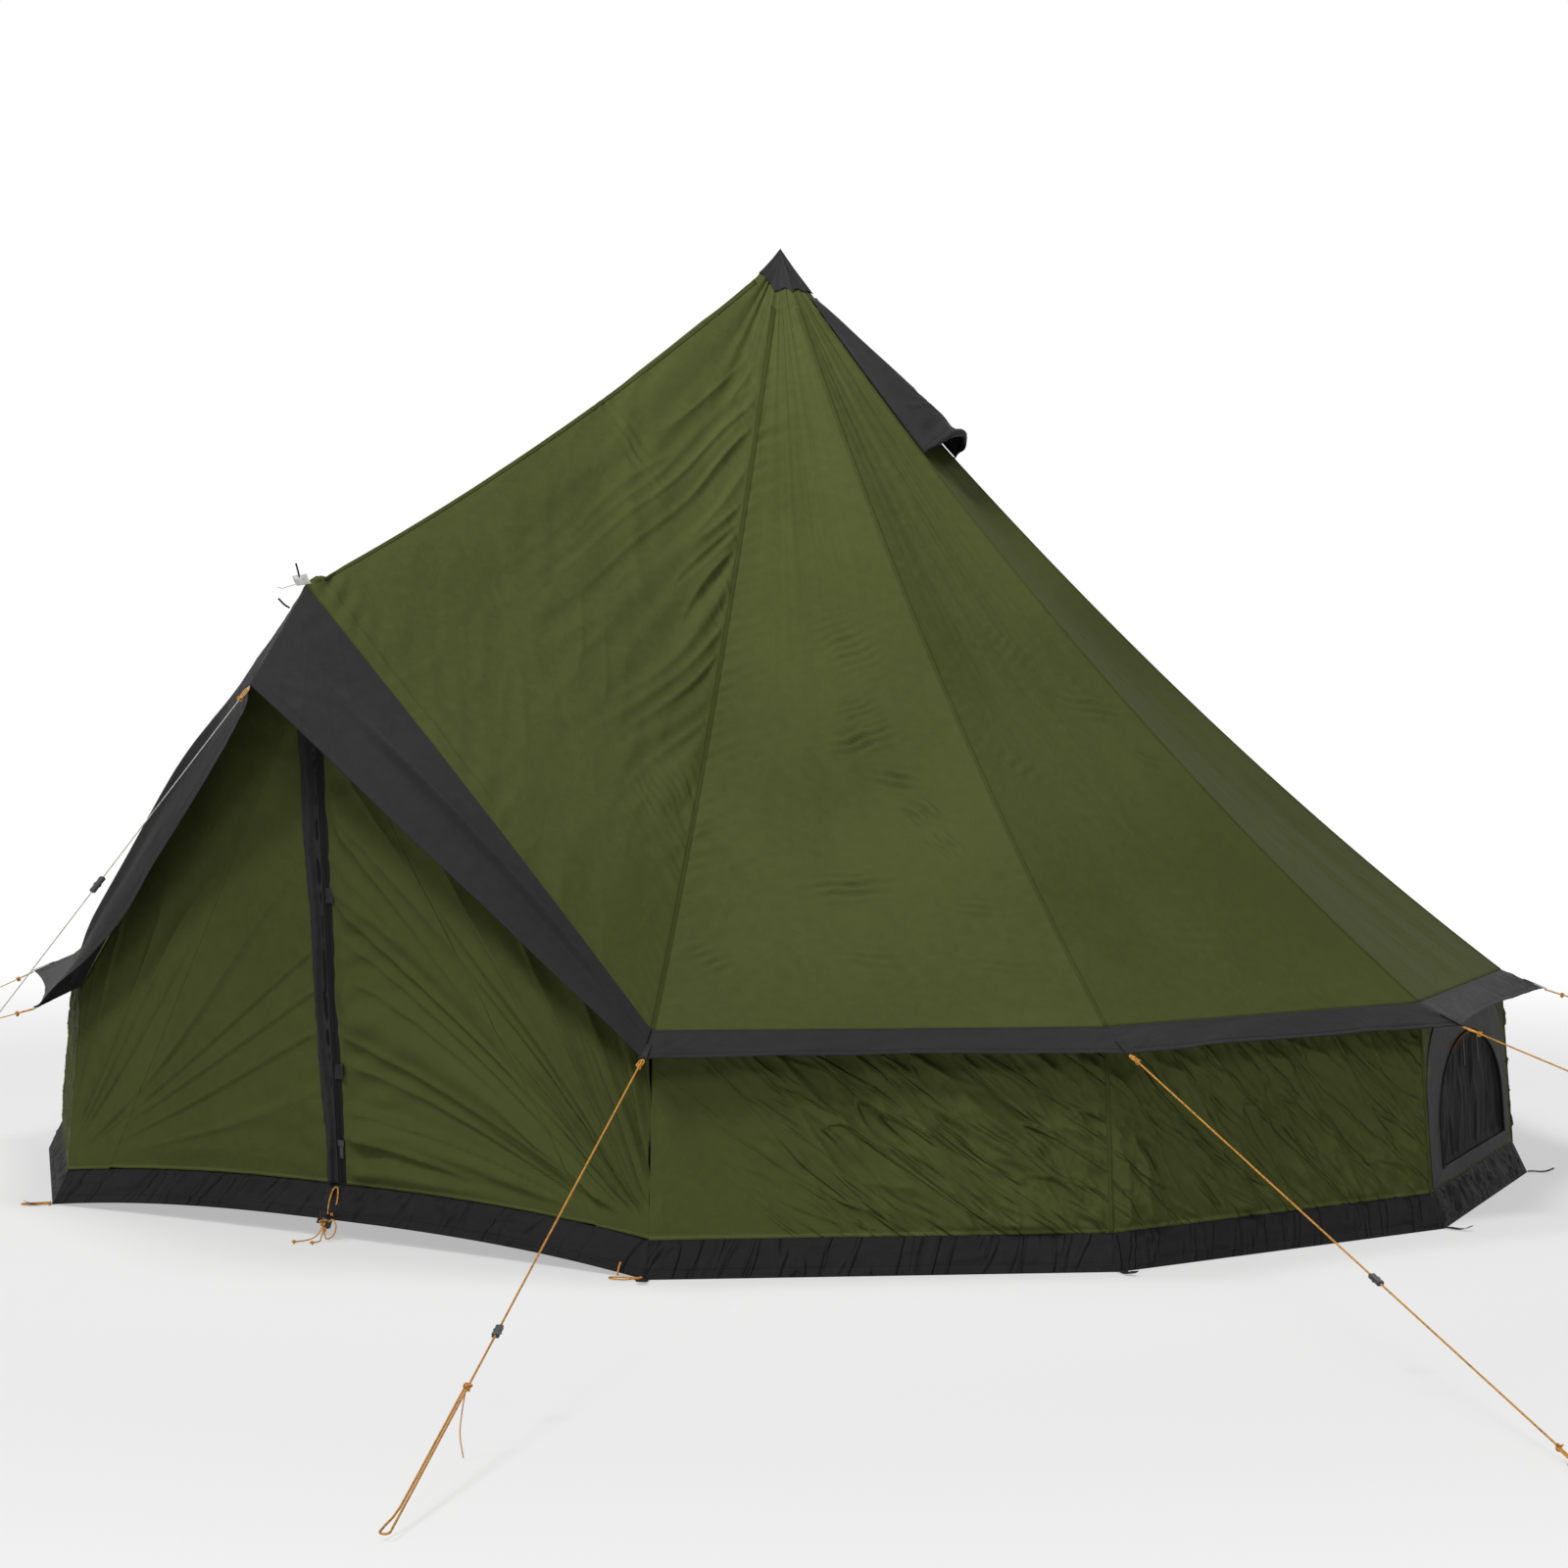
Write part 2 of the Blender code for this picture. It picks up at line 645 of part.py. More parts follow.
def zip_direction():
    """Direction of the zip, up along the door plane."""
    low = Vector((0.0, door_plane_y(BAND_HEIGHT), BAND_HEIGHT))
    high = Vector((0.0, door_plane_y(LEAF_APEX_HEIGHT), LEAF_APEX_HEIGHT))
    return (high - low).normalized()


def cap_point(angle, edge, sag, share):
    """Point of the cap's lower edge, above a straight line from the top to the roof's edge."""
    point = APEX.lerp(edge, share)
    point.z += COVER_LIFT + ROOF_DROP - slack(share, sag)
    return angle % (2.0 * pi), point


def build_cap(dark):
    """Pointed cap over the meeting point of all roof panels, its edge scalloped between the seams."""
    share = CAP_RADIUS / EAVE_RADIUS
    hollow = share * (1.0 - CAP_SCALLOP)
    door_corners = [radial(corner_angle(index), EAVE_RADIUS, EAVE_HEIGHT) for index in (0, SIDE_COUNT)]
    ring = [cap_point(-pi / 2.0, HEAD, FRONT_SAG, CAP_RADIUS / DOOR_HEAD_REACH)]
    for corner in door_corners:
        middle = HEAD.lerp(corner, 0.5)
        ring.append(cap_point(atan2(middle.y, middle.x), middle, FRONT_SAG, hollow))
    for index in range(SIDE_COUNT + 1):
        angle = corner_angle(index)
        ring.append(cap_point(angle, radial(angle, EAVE_RADIUS, EAVE_HEIGHT), RIDGE_SAG, share))
    for side in range(SIDE_COUNT):
        angle = corner_angle(side) + SIDE_ANGLE / 2.0
        edge = side_point(side, 0.5, EAVE_RADIUS, EAVE_HEIGHT)
        ring.append(cap_point(angle, edge, RIDGE_SAG, hollow))
    ring.sort(key=lambda item: item[0])

    bm = bmesh.new()
    peak = bm.verts.new(APEX + Vector((0.0, 0.0, COVER_LIFT + ROOF_DROP + CAP_PEAK)))
    outer = [bm.verts.new(point) for _, point in ring]
    faces = [bm.faces.new((peak, first, last)) for first, last in zip(outer, outer[1:] + outer[:1])]
    skin = bmesh.ops.extrude_face_region(bm, geom=faces, use_keep_orig=True)
    lower = [item for item in skin["geom"] if isinstance(item, bmesh.types.BMVert)]
    bmesh.ops.translate(bm, verts=lower, vec=(0.0, 0.0, -ROOF_DROP))
    finish_mesh("apex_cap", bm, dark)


def build_hood(dark):
    """Vent hood on one roof panel: flat at the top and sides, propped open at its lower mouth."""
    cap_clear = CAP_RADIUS / EAVE_RADIUS + HOOD_START

    def surface(s, t):
        share = cap_clear + (HOOD_END - cap_clear) * t
        point = roof_point(HOOD_SIDE, s, share)
        crown = (4.0 * s * (1.0 - s)) ** HOOD_CROWN
        out_angle = corner_angle(HOOD_SIDE) + SIDE_ANGLE / 2.0
        out = Vector((HOOD_LEAN * cos(out_angle), HOOD_LEAN * sin(out_angle), 1.0)).normalized()
        return point + Vector((0.0, 0.0, COVER_LIFT + ROOF_DROP)) + out * (HOOD_LIFT * crown * t ** HOOD_RISE)

    cloth_panel("vent_hood", surface, drop_inner, 8, 6, dark)


def turned(name, profile, material, segments=24):
    """Turned solid from a profile of radius and height that starts and ends on the axis."""
    bm = bmesh.new()
    verts = [bm.verts.new((radius, 0.0, height)) for radius, height in profile]
    edges = [bm.edges.new(pair) for pair in zip(verts, verts[1:])]
    if profile[0][0] > 0.0:
        edges.append(bm.edges.new((verts[-1], verts[0])))
    bmesh.ops.spin(
        bm, geom=verts + edges, cent=(0.0, 0.0, 0.0), axis=(0.0, 0.0, 1.0),
        angle=2.0 * pi, steps=segments, use_merge=True, use_duplicate=False,
    )
    bmesh.ops.remove_doubles(bm, verts=bm.verts, dist=1e-6)
    return finish_mesh(name, bm, material, smooth=True)


def build_centre_pole(steel, plastic):
    """Two-part steel pole on a rubber foot; the upper part's spigot slides into the lower one."""
    floor = FLOOR_CLOTH + GAP
    foot_top = floor + FOOT_HEIGHT
    bore = POLE_RADIUS - POLE_WALL
    socket = foot_top - FOOT_SOCKET
    turned("pole_foot", [
        (0.0, floor), (FOOT_RADIUS, floor), (FOOT_RADIUS, floor + FOOT_FLANGE),
        (POLE_RADIUS + FOOT_LIP, foot_top), (POLE_RADIUS + GAP, foot_top),
        (POLE_RADIUS + GAP, socket), (0.0, socket),
    ], plastic)
    low = socket + GAP
    turned("pole_lower", [
        (bore, low), (POLE_RADIUS, low), (POLE_RADIUS, POLE_JOINT_HEIGHT), (bore, POLE_JOINT_HEIGHT),
    ], steel)
    spigot = bore - GAP
    seat = POLE_JOINT_HEIGHT + GAP
    top = ROOF_TOP - POLE_TOP_GAP
    turned("pole_upper", [
        (0.0, seat - SPIGOT_LENGTH), (spigot, seat - SPIGOT_LENGTH), (spigot, seat),
        (POLE_RADIUS, seat), (POLE_RADIUS, top - POLE_NOSE), (POLE_RADIUS / 2.0, top - POLE_NOSE_TIP),
        (POLE_RADIUS / 3.0, top), (0.0, top),
    ], steel)


def straight_tube(name, start, end, radius, material, segments=12):
    """Round bar between two points."""
    run = end - start
    bm = bmesh.new()
    bmesh.ops.create_cone(
        bm, cap_ends=True, cap_tris=False, segments=segments,
        radius1=radius, radius2=radius, depth=run.length,
    )
    turn = run.to_track_quat("Z", "Y").to_matrix().to_4x4()
    bmesh.ops.transform(bm, matrix=Matrix.Translation((start + end) / 2.0) @ turn, verts=bm.verts)
    return finish_mesh(name, bm, material, smooth=True)


def cord_curve(name, points, radius, material, resolution=2):
    """Round cord on one open poly spline with filled ends."""
    curve = bpy.data.curves.new(name, "CURVE")
    curve.dimensions = "3D"
    curve.bevel_depth = radius
    curve.bevel_resolution = resolution
    curve.use_fill_caps = True
    spline = curve.splines.new("POLY")
    spline.points.add(len(points) - 1)
    for target, point in zip(spline.points, points):
        target.co = (*point, 1.0)
    return link_object(name, curve, material)


def build_door_pole(fibre, plastic):
    """Two fibre legs from the base corners to an elbow under the door head."""
    setback = DOOR_POLE_SETBACK + DOOR_POLE_RADIUS
    head = Vector((0.0, door_plane_y(DOOR_POLE_HEAD) + setback + DOOR_POLE_HEAD_BACK, DOOR_POLE_HEAD))
    lean = DOOR_POLE_FOOT_HALF / Vector((DOOR_POLE_FOOT_HALF, DOOR_POLE_HEAD)).length
    foot_y = door_plane_y(BAND_HEIGHT) + setback
    raised = floor_lift(DOOR_POLE_FOOT_HALF - DOOR_POLE_RADIUS, foot_y - DOOR_POLE_RADIUS)
    foot_height = FLOOR_CLOTH + GAP + raised + DOOR_POLE_RADIUS * lean
    for sign, label in ((1, "right"), (-1, "left")):
        foot = Vector((sign * DOOR_POLE_FOOT_HALF, foot_y, foot_height))
        along = (head - foot).normalized()
        end = head - along * (ELBOW_ARM + GAP)
        straight_tube(f"door_pole_{label}", foot, end, DOOR_POLE_RADIUS, fibre)
    arms = []
    for sign in (-1, 1):
        foot = Vector((sign * DOOR_POLE_FOOT_HALF, foot_y, foot_height))
        arms.append(head + (foot - head).normalized() * ELBOW_ARM)
    low_left = head.lerp(arms[0], ELBOW_BEND)
    low_right = head.lerp(arms[1], ELBOW_BEND)
    crown = (head + low_left + low_right) / 3.0
    cord_curve("door_pole_elbow", [arms[0], low_left, crown, low_right, arms[1]], ELBOW_RADIUS, plastic)


def guy_route(start, end, eye):
    """Taut line from start to end that closes in a round eye standing in its own plane."""
    run = end - start
    along = run.normalized()
    side = along.cross(Vector((0.0, 0.0, 1.0))).normalized()
    points = [start.lerp(end, step / 12.0) for step in range(13)]
    centre = end + side * eye
    for step in range(1, 10):
        turn = radians(30.0 * step)
        points.append(centre - side * (eye * cos(turn)) + along * (eye * sin(turn)))
    return points


def guy_ends(name):
    """Start and end points of a guy line."""
    if name == "guy_line_front":
        tip = VISOR_TIP
        end = Vector((0.0, tip.y - FRONT_GUY_RUN, FRONT_GUY_HEIGHT))
    else:
        corner, outwards, sideways, height = GUYS[name]
        angle = corner_angle(corner)
        tip = radial(angle, SKIRT_RADIUS, SKIRT_HEIGHT)
        end = radial(angle, SKIRT_RADIUS + outwards, height)
        end += sideways * Vector((-sin(angle), cos(angle), 0.0))
    middle = tip - Vector((0.0, 0.0, ROOF_DROP / 2.0))
    along = (end - middle).normalized()
    return middle + along * (GAP + ROOF_DROP / 2.0 * abs(along.z)), end


def build_guys(orange, plastic):
    """Guy lines from the edge band corners and the visor, with their sliding runners."""
    for name in [*GUYS, "guy_line_front"]:
        start, end = guy_ends(name)
        cord_curve(name, guy_route(start, end, EYE_RADIUS), CORD_RADIUS, orange)
    for name, (line, share) in RUNNERS.items():
        start, end = guy_ends(line)
        turn = (end - start).to_track_quat("Z", "Y").to_matrix().to_4x4()
        place = Matrix.Translation(start.lerp(end, share)) @ turn
        bm = bmesh.new()
        bmesh.ops.create_cube(bm, size=1.0)
        bmesh.ops.scale(bm, verts=bm.verts, vec=(RUNNER_WIDTH, RUNNER_HEIGHT, RUNNER_LENGTH))
        bmesh.ops.bevel(bm, geom=bm.edges[:], offset=RUNNER_ROUND, segments=2, affect="EDGES")
        runner = finish_mesh(name, bm, plastic)
        runner.matrix_world = place
        bm = bmesh.new()
        bmesh.ops.create_cone(
            bm, cap_ends=True, segments=12,
            radius1=RUNNER_BORE, radius2=RUNNER_BORE, depth=RUNNER_LENGTH * 2.0,
        )
        cutter = finish_mesh(f"{name}_cutter", bm, None)
        cutter.matrix_world = place
        hide_cutter(cutter)
        cut_with(runner, cutter)


def build_straps(dark):
    """Webbing peg straps at the corners of the tray that the front shows."""
    for corner, label in ((0, "a"), (1, "b"), (2, "c"), (3, "d"), (SIDE_COUNT, "z")):
        angle = corner_angle(corner)
        side = Vector((-sin(angle), cos(angle), 0.0))

        def surface(s, t, angle=angle, side=side):
            out = BASE_RADIUS + 2.0 * GAP + STRAP_LENGTH * t
            height = STRAP_CLEAR + STRAP_THICKNESS + STRAP_LIFT * (1.0 - sin(pi * t)) * t
            return radial(angle, out, height) + side * (STRAP_WIDTH * (s - 0.5))

        def inner(point):
            return point - Vector((0.0, 0.0, STRAP_THICKNESS))

        cloth_panel(f"peg_strap_{label}", surface, inner, 1, 6, dark)


def build_tent():
    """Build every part."""
    clear_scene()
    green = make_material("green_cloth", GREEN, 0.72)
    dark = make_material("dark_cloth", DARK, 0.62)
    mesh_black = make_material("window_net", MESH_BLACK, 0.45)
    steel = make_material("pole_steel", GREY_STEEL, 0.35, 1.0)
    fibre = make_material("pole_fibre", FIBRE, 0.4)
    orange = make_material("guy_cord", ORANGE, 0.7)
    plastic = make_material("black_plastic", PLASTIC, 0.4)
    build_groundsheet(dark)
    build_walls(green)
    build_window(dark, mesh_black)
    build_roof(green)
    build_skirts(dark)
    build_visor(dark)
    build_door(green)
    build_closing(dark, plastic)
    build_cap(dark)
    build_hood(dark)
    build_centre_pole(steel, plastic)
    build_door_pole(fibre, plastic)
    build_guys(orange, plastic)
    build_straps(dark)


build_tent()
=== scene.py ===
"""Tipi tent dressed in its cloth, seams, cords and fittings. Laid out as an add-on and run as a script."""

from math import cos, pi, radians, sin

import bmesh
import bpy
import numpy as np
from bpy.props import FloatProperty, FloatVectorProperty, PointerProperty
from bpy.types import Operator, Panel, PropertyGroup
from mathutils import Matrix, Vector


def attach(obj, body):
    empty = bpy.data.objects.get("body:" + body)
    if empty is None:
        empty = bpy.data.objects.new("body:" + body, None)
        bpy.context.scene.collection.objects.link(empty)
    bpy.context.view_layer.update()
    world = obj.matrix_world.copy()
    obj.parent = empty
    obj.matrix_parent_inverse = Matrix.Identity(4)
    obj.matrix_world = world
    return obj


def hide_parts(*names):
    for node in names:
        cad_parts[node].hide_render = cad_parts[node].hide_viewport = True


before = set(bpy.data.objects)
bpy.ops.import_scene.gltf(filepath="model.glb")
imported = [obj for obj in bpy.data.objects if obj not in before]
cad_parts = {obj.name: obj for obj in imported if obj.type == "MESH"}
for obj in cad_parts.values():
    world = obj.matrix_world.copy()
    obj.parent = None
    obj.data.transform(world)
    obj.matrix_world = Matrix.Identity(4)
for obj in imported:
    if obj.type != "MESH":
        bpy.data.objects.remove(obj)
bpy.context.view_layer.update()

bl_info = {
    "name": "Tipi tent",
    "version": (1, 0, 0),
    "blender": (4, 5, 0),
    "location": "View3D > Sidebar > Tent",
    "description": "Cloth, seams, cords and fittings of a tipi tent with a porch visor",
    "category": "Add Mesh",
}

# Layout that the frame fixes
SIDE_COUNT = 10
DOOR_ANGLE = radians(55.0)
SIDE_ANGLE = (2.0 * pi - DOOR_ANGLE) / SIDE_COUNT
FIRST_CORNER = -pi / 2.0 + DOOR_ANGLE / 2.0
DOOR_CHORD = cos(DOOR_ANGLE / 2.0)
GAP = 0.0003
INSIDE = np.array((0.0, 0.0, 0.9))
# How far the band's top stands inside the base, and the eave inside the band
BAND_INSET, EAVE_INSET = 0.040, 0.035
# The edge band's hem below the eave, and the upright depth of the solids of sloping cloth
TIP_DROP, SOLID_DEPTH = 0.050, 0.0042
WALL_CLEARANCE = 0.002
# Radius at which the roof cloth starts, and the cap's reach
ROOF_HOLE, CAP_REACH = 0.030, 0.092
# Door head inside the base, and the visor's peak measured from the head
HEAD_INSET, VISOR_PEAK = 0.15, (0.0, -0.19, -0.23)
# Leaf's foot beside the door corner, its fold lines' meeting point under the head, and its top under that
LEAF_INSET, LEAF_DROP, LEAF_CUT = 0.157, 0.19, 0.03
# Hood's end as a share of its roof panel, and how far its mouth stands out
HOOD_END, HOOD_LIFT = 0.245, 0.095
WINDOW_SIDE = 2
WINDOW_TURN = FIRST_CORNER + (WINDOW_SIDE + 0.5) * SIDE_ANGLE


# Settings


def length_setting(name, default, description):
    """A length that the panel can change."""
    return FloatProperty(name=name, description=description, default=default, unit="LENGTH")


def colour_setting(name, default, description):
    """A colour that the panel can change."""
    return FloatVectorProperty(name=name, description=description, default=default, subtype="COLOR")


class TentSizes(PropertyGroup):
    """Sizes of the tent's cloth."""

    roof_top: length_setting("Roof top", 2.49, "Height of the roof's top")
    base_radius: length_setting("Base radius", 2.05, "Centre to a base corner")
    eave_height: length_setting("Eave height", 0.55, "Height of the eave seam")
    band_height: length_setting("Band height", 0.082, "Height of the tray's band")
    head_height: length_setting("Door head", 1.55, "Height of the door head")
    ridge_sag: length_setting("Ridge sag", 0.110, "Sag of a roof seam")
    front_sag: length_setting("Front sag", 0.050, "Sag of the front ridge")
    panel_bow: length_setting("Panel bow", 0.025, "Extra sag in a panel's middle")
    skirt_reach: length_setting("Edge band reach", 0.115, "Reach of the edge band")
    skirt_hollow: length_setting("Edge band hollow", 0.035, "Hollow of its hem")
    sill_lift: length_setting("Sill lift", 0.048, "Lift of the tray's edge at the door")
    cloth: length_setting("Cloth", 0.0012, "Thickness of the cloth")


class TentColours(PropertyGroup):
    """Colours of the tent's cloth and fittings."""

    green: colour_setting("Green cloth", (0.070, 0.082, 0.026), "Roof and walls")
    black: colour_setting("Black cloth", (0.0255, 0.0250, 0.0260), "Bands, visor and tray")
    ochre: colour_setting("Cords", (0.60, 0.29, 0.060), "Guy lines and loops")
    net: colour_setting("Net", (0.008, 0.0078, 0.0075), "Window net")
    white: colour_setting("Pale webbing", (0.62, 0.63, 0.62), "Tab at the door head")


# Shader maths


class Value:
    """A shader socket that can stand in Python sums."""

    def __init__(self, shader, socket):
        self.shader = shader
        self.socket = socket

    def _math(self, operation, first, second=None):
        values = {0: first} if second is None else {0: first, 1: second}
        return self.shader.node("ShaderNodeMath", {"operation": operation}, values)

    def __add__(self, other):
        return self._math("ADD", self, other)

    def __radd__(self, other):
        return self._math("ADD", other, self)

    def __sub__(self, other):
        return self._math("SUBTRACT", self, other)

    def __rsub__(self, other):
        return self._math("SUBTRACT", other, self)

    def __mul__(self, other):
        return self._math("MULTIPLY", self, other)

    def __rmul__(self, other):
        return self._math("MULTIPLY", other, self)

    def __pow__(self, other):
        return self._math("POWER", self, other)

    def wave(self):
        return self._math("SINE", self)

    def part(self):
        return self._math("FRACT", self)

    def size(self):
        return self._math("ABSOLUTE", self)

    def below(self, edge):
        return self._math("LESS_THAN", self, edge)

    def most(self, other):
        return self._math("MAXIMUM", self, other)

    def ramp(self, low, high):
        return self.shader.node(
            "ShaderNodeMapRange", {"interpolation_type": "SMOOTHSTEP"},
            {0: self, 1: low, 2: high, 3: 0.0, 4: 1.0},
        )


class Shader:
    """A tree of shader nodes, made by calls and sums."""

    def __init__(self, tree):
        self.tree = tree

    def node(self, kind, settings=None, values=None, output=0):
        """A new shader node, its settings and inputs filled in, as one of its outputs."""
        made = self.tree.nodes.new(kind)
        for key, value in (settings or {}).items():
            setattr(made, key, value)
        for key, value in (values or {}).items():
            self.feed(made.inputs[key], value)
        return Value(self, made.outputs[output])

    def feed(self, socket, value):
        """Link a socket to a value, or set it."""
        if isinstance(value, Value):
            self.tree.links.new(value.socket, socket)
        else:
            socket.default_value = value

    def seen(self):
        """1 for the rays that meet plain white: straight ones, mirrored ones and those through a sheet."""
        rays = ("Is Camera Ray", "Is Glossy Ray", "Is Transmission Ray")
        straight, mirrored, through = [self.node("ShaderNodeLightPath", output=ray) for ray in rays]
        return straight.most(mirrored).most(through)


class Finish(Shader):
    """One procedural material."""

    def __init__(self, name, roughness=0.5, **fixed):
        self.material = bpy.data.materials.new(name)
        self.material.use_nodes = True
        super().__init__(self.material.node_tree)
        self.surface = self.tree.nodes["Principled BSDF"]
        self.surface.inputs["Roughness"].default_value = roughness
        for socket, value in fixed.items():
            self.surface.inputs[socket.replace("_", " ")].default_value = value

    def place(self):
        """Object coordinates."""
        return self.node("ShaderNodeTexCoord", output="Object")

    def parts(self, vector):
        """The three numbers of a vector."""
        return [self.node("ShaderNodeSeparateXYZ", values={0: vector}, output=axis) for axis in range(3)]

    def flat(self):
        """Across and along the cloth in metres."""
        return self.parts(self.node("ShaderNodeUVMap", {"uv_map": "cloth"}))[:2]

    def noise(self, where, scale, detail=2.0, distortion=0.0):
        """Noise texture's strength from 0 to 1."""
        values = {"Vector": where, "Scale": scale, "Detail": detail, "Distortion": distortion}
        return self.node("ShaderNodeTexNoise", values=values)

    def blend(self, share, first, second):
        """Mix of two colours."""
        return self.node(
            "ShaderNodeMix", {"data_type": "RGBA"}, {"Factor": share, 6: first, 7: second}, output=2
        )

    def bump(self, height, distance, strength=1.0, under=None):
        """Normal of a raised surface, on top of another where given."""
        values = {"Strength": strength, "Distance": distance, "Height": height}
        if under is not None:
            values["Normal"] = under
        return self.node("ShaderNodeBump", values=values)

    def paint(self, **links):
        """Feed the surface's inputs."""
        for socket, value in links.items():
            self.feed(self.surface.inputs[socket.replace("_", " ")], value)


def shade(colour, share):
    """A colour made lighter or darker."""
    return (*(min(1.0, channel * share) for channel in tuple(colour)[:3]), 1.0)


def cloth_finish(name, colour, roughness, crumple=1.0, hem=0.0, rows=(), columns=(), pull=None, sheen=0.004):
    """Coated plain weave with soft creases and, where asked, slanting ones, a paler hem and stitches."""
    made = Finish(name, roughness, Specular_IOR_Level=sheen)
    where = made.place()
    across, along = made.flat()
    broad = made.noise(where, 1.6, 3.0)
    mottle = made.noise(where, 38.0, 4.0)
    threads = (across * (2.0 * pi / 0.0012)).wave() * (along * (2.0 * pi / 0.0012)).wave()
    crease = made.noise(where, 9.0, 5.0, 1.2)
    tone = broad * 0.7 + mottle * 0.3
    base = made.blend(tone.ramp(0.3, 0.7), shade(colour, 0.88), shade(colour, 1.12))
    rough = (mottle - 0.5) * 0.12 + (broad - 0.5) * 0.10 + roughness
    folds = made.bump(crease, 0.010 * crumple, 0.5)
    if pull is not None:
        turn, calm = pull
        a = across * cos(turn) + along * sin(turn)
        b = along * cos(turn) - across * sin(turn)
        streaks = made.node("ShaderNodeCombineXYZ", values={0: a * 2.4, 1: b * 15.0})
        line = 1.0 - (made.noise(streaks, 1.0, 2.0, 0.7) - 0.5).size().ramp(0.0, 0.07)
        folds = made.bump(line * (across + along * 0.4).ramp(calm, calm + 0.5), 0.0075, 0.9, folds)
    normal = made.bump(threads, 0.00012, 0.35, folds)
    if hem:
        edge = along.below(hem)
        base = made.blend(edge, base, shade(colour, 1.45))
        normal = made.bump(edge, 0.0010, 0.8, normal)
    thread = None
    for axis, other, places in ((along, across, rows), (across, along, columns)):
        for place in places:
            line = (axis - place).size().below(0.0007) * (other * 250.0).part().below(0.62)
            thread = line if thread is None else thread + line
    if thread is not None:
        base = made.blend(thread, base, shade(colour, 0.45))
        normal = made.bump(thread, 0.0006, 0.8, normal)
    made.paint(Base_Color=base, Roughness=rough, Normal=normal)
    return made.material


def webbing_finish(name, colour):
    """Ribbed woven strap."""
    made = Finish(name, 0.6, Specular_IOR_Level=0.06)
    across, along = made.flat()
    ribs = (along * (2.0 * pi / 0.0022)).wave()
    twill = ((along + across * 0.5) * (2.0 * pi / 0.0044)).wave() * (across * (2.0 * pi / 0.0030)).wave()
    tone = made.noise(made.place(), 60.0, 3.0)
    made.paint(
        Base_Color=made.blend(tone.ramp(0.3, 0.7), shade(colour, 0.8), shade(colour, 1.25)),
        Normal=made.bump(ribs * 0.6 + twill * 0.4, 0.0004, 0.7),
    )
    return made.material


def cord_finish(name, colour, dark_fleck=0.6):
    """Braided cord with a fleck along it."""
    made = Finish(name, 0.62, Specular_IOR_Level=0.08)
    where = made.place()
    strands = made.noise(where, 420.0, 2.0)
    fleck = made.noise(where, 150.0, 1.0)
    base = made.blend(fleck.ramp(0.56, 0.62), shade(colour, 1.05), shade(colour, dark_fleck))
    made.paint(Base_Color=base, Normal=made.bump(strands, 0.0006, 0.6))
    return made.material


def net_finish(name, colour):
    """Fine netting, its threads standing up between square holes; the holes carry painted shade for the unlit
    space behind the net.
    """
    made = Finish(name, 0.5, Specular_IOR_Level=0.012)
    across, along = made.flat()
    pitch = 2.0 * pi / 0.0026
    threads = (across * pitch).wave().size() * (along * pitch).wave().size()
    folds = made.noise(made.place(), 14.0, 3.0)
    # Painted shade: the holes are darker than the threads, standing in for the dark space seen through the
    # net
    made.paint(
        Base_Color=made.blend(threads.ramp(0.25, 0.6), shade(colour, 1.5), shade(colour, 0.7)),
        Normal=made.bump(threads, 0.0004, 0.5, made.bump(folds, 0.006, 0.5)),
    )
    return made.material


def zip_finish(name, colour):
    """Zip tape: fine ribs, with the teeth as a row of bars along one edge."""
    made = Finish(name, 0.55, Specular_IOR_Level=0.06)
    across, along = made.flat()
    ribs = (across * (2.0 * pi / 0.0016)).wave()
    row = across.size().below(0.0045)
    teeth = (along * 260.0).part().below(0.5) * row
    base = made.blend(row, shade(colour, 0.55), shade(colour, 0.40))
    made.paint(Base_Color=base, Normal=made.bump(ribs * 0.15 + teeth, 0.0010, 0.8))
    return made.material


def plastic_finish(name, colour, roughness):
    """Moulded plastic with a fine grain."""
    made = Finish(name, roughness)
    where = made.place()
    grain = made.noise(where, 900.0, 2.0)
    wear = made.noise(where, 60.0, 4.0)
    made.paint(
        Base_Color=made.blend(wear.ramp(0.35, 0.75), shade(colour, 0.9), shade(colour, 1.5)),
        Roughness=(wear - 0.5) * 0.25 + roughness,
        Normal=made.bump(grain, 0.0002, 0.4),
    )
    return made.material


def steel_finish(name):
    """Galvanised tube with faint drawing lines along it."""
    made = Finish(name, 0.34, Metallic=1.0)
    across, along, up = made.parts(made.place())
    streak = made.node("ShaderNodeCombineXYZ", values={0: across * 900.0, 1: along * 900.0, 2: up * 2.0})
    lines = made.noise(streak, 1.0, 3.0)
    spangle = made.noise(made.place(), 70.0, 3.0)
    made.paint(
        Base_Color=made.blend(spangle.ramp(0.35, 0.65), (0.42, 0.43, 0.44, 1.0), (0.56, 0.57, 0.58, 1.0)),
        Roughness=lines * 0.25 + 0.22,
        Normal=made.bump(lines, 0.0002, 0.3),
    )
    return made.material


# Noise and folds


def hashed(column, row, seed):
    """Steady scattered values from -1 to 1 for whole-number places."""
    column, row = column.astype(np.int64), row.astype(np.int64)
    number = (column * 374761393 + row * 668265263 + seed * 144269503) & 0x7FFFFFFF
    number = ((number ^ (number >> 13)) * 1274126177) & 0x7FFFFFFF
    number ^= number >> 16
    return (number & 0xFFFF) / 32767.5 - 1.0


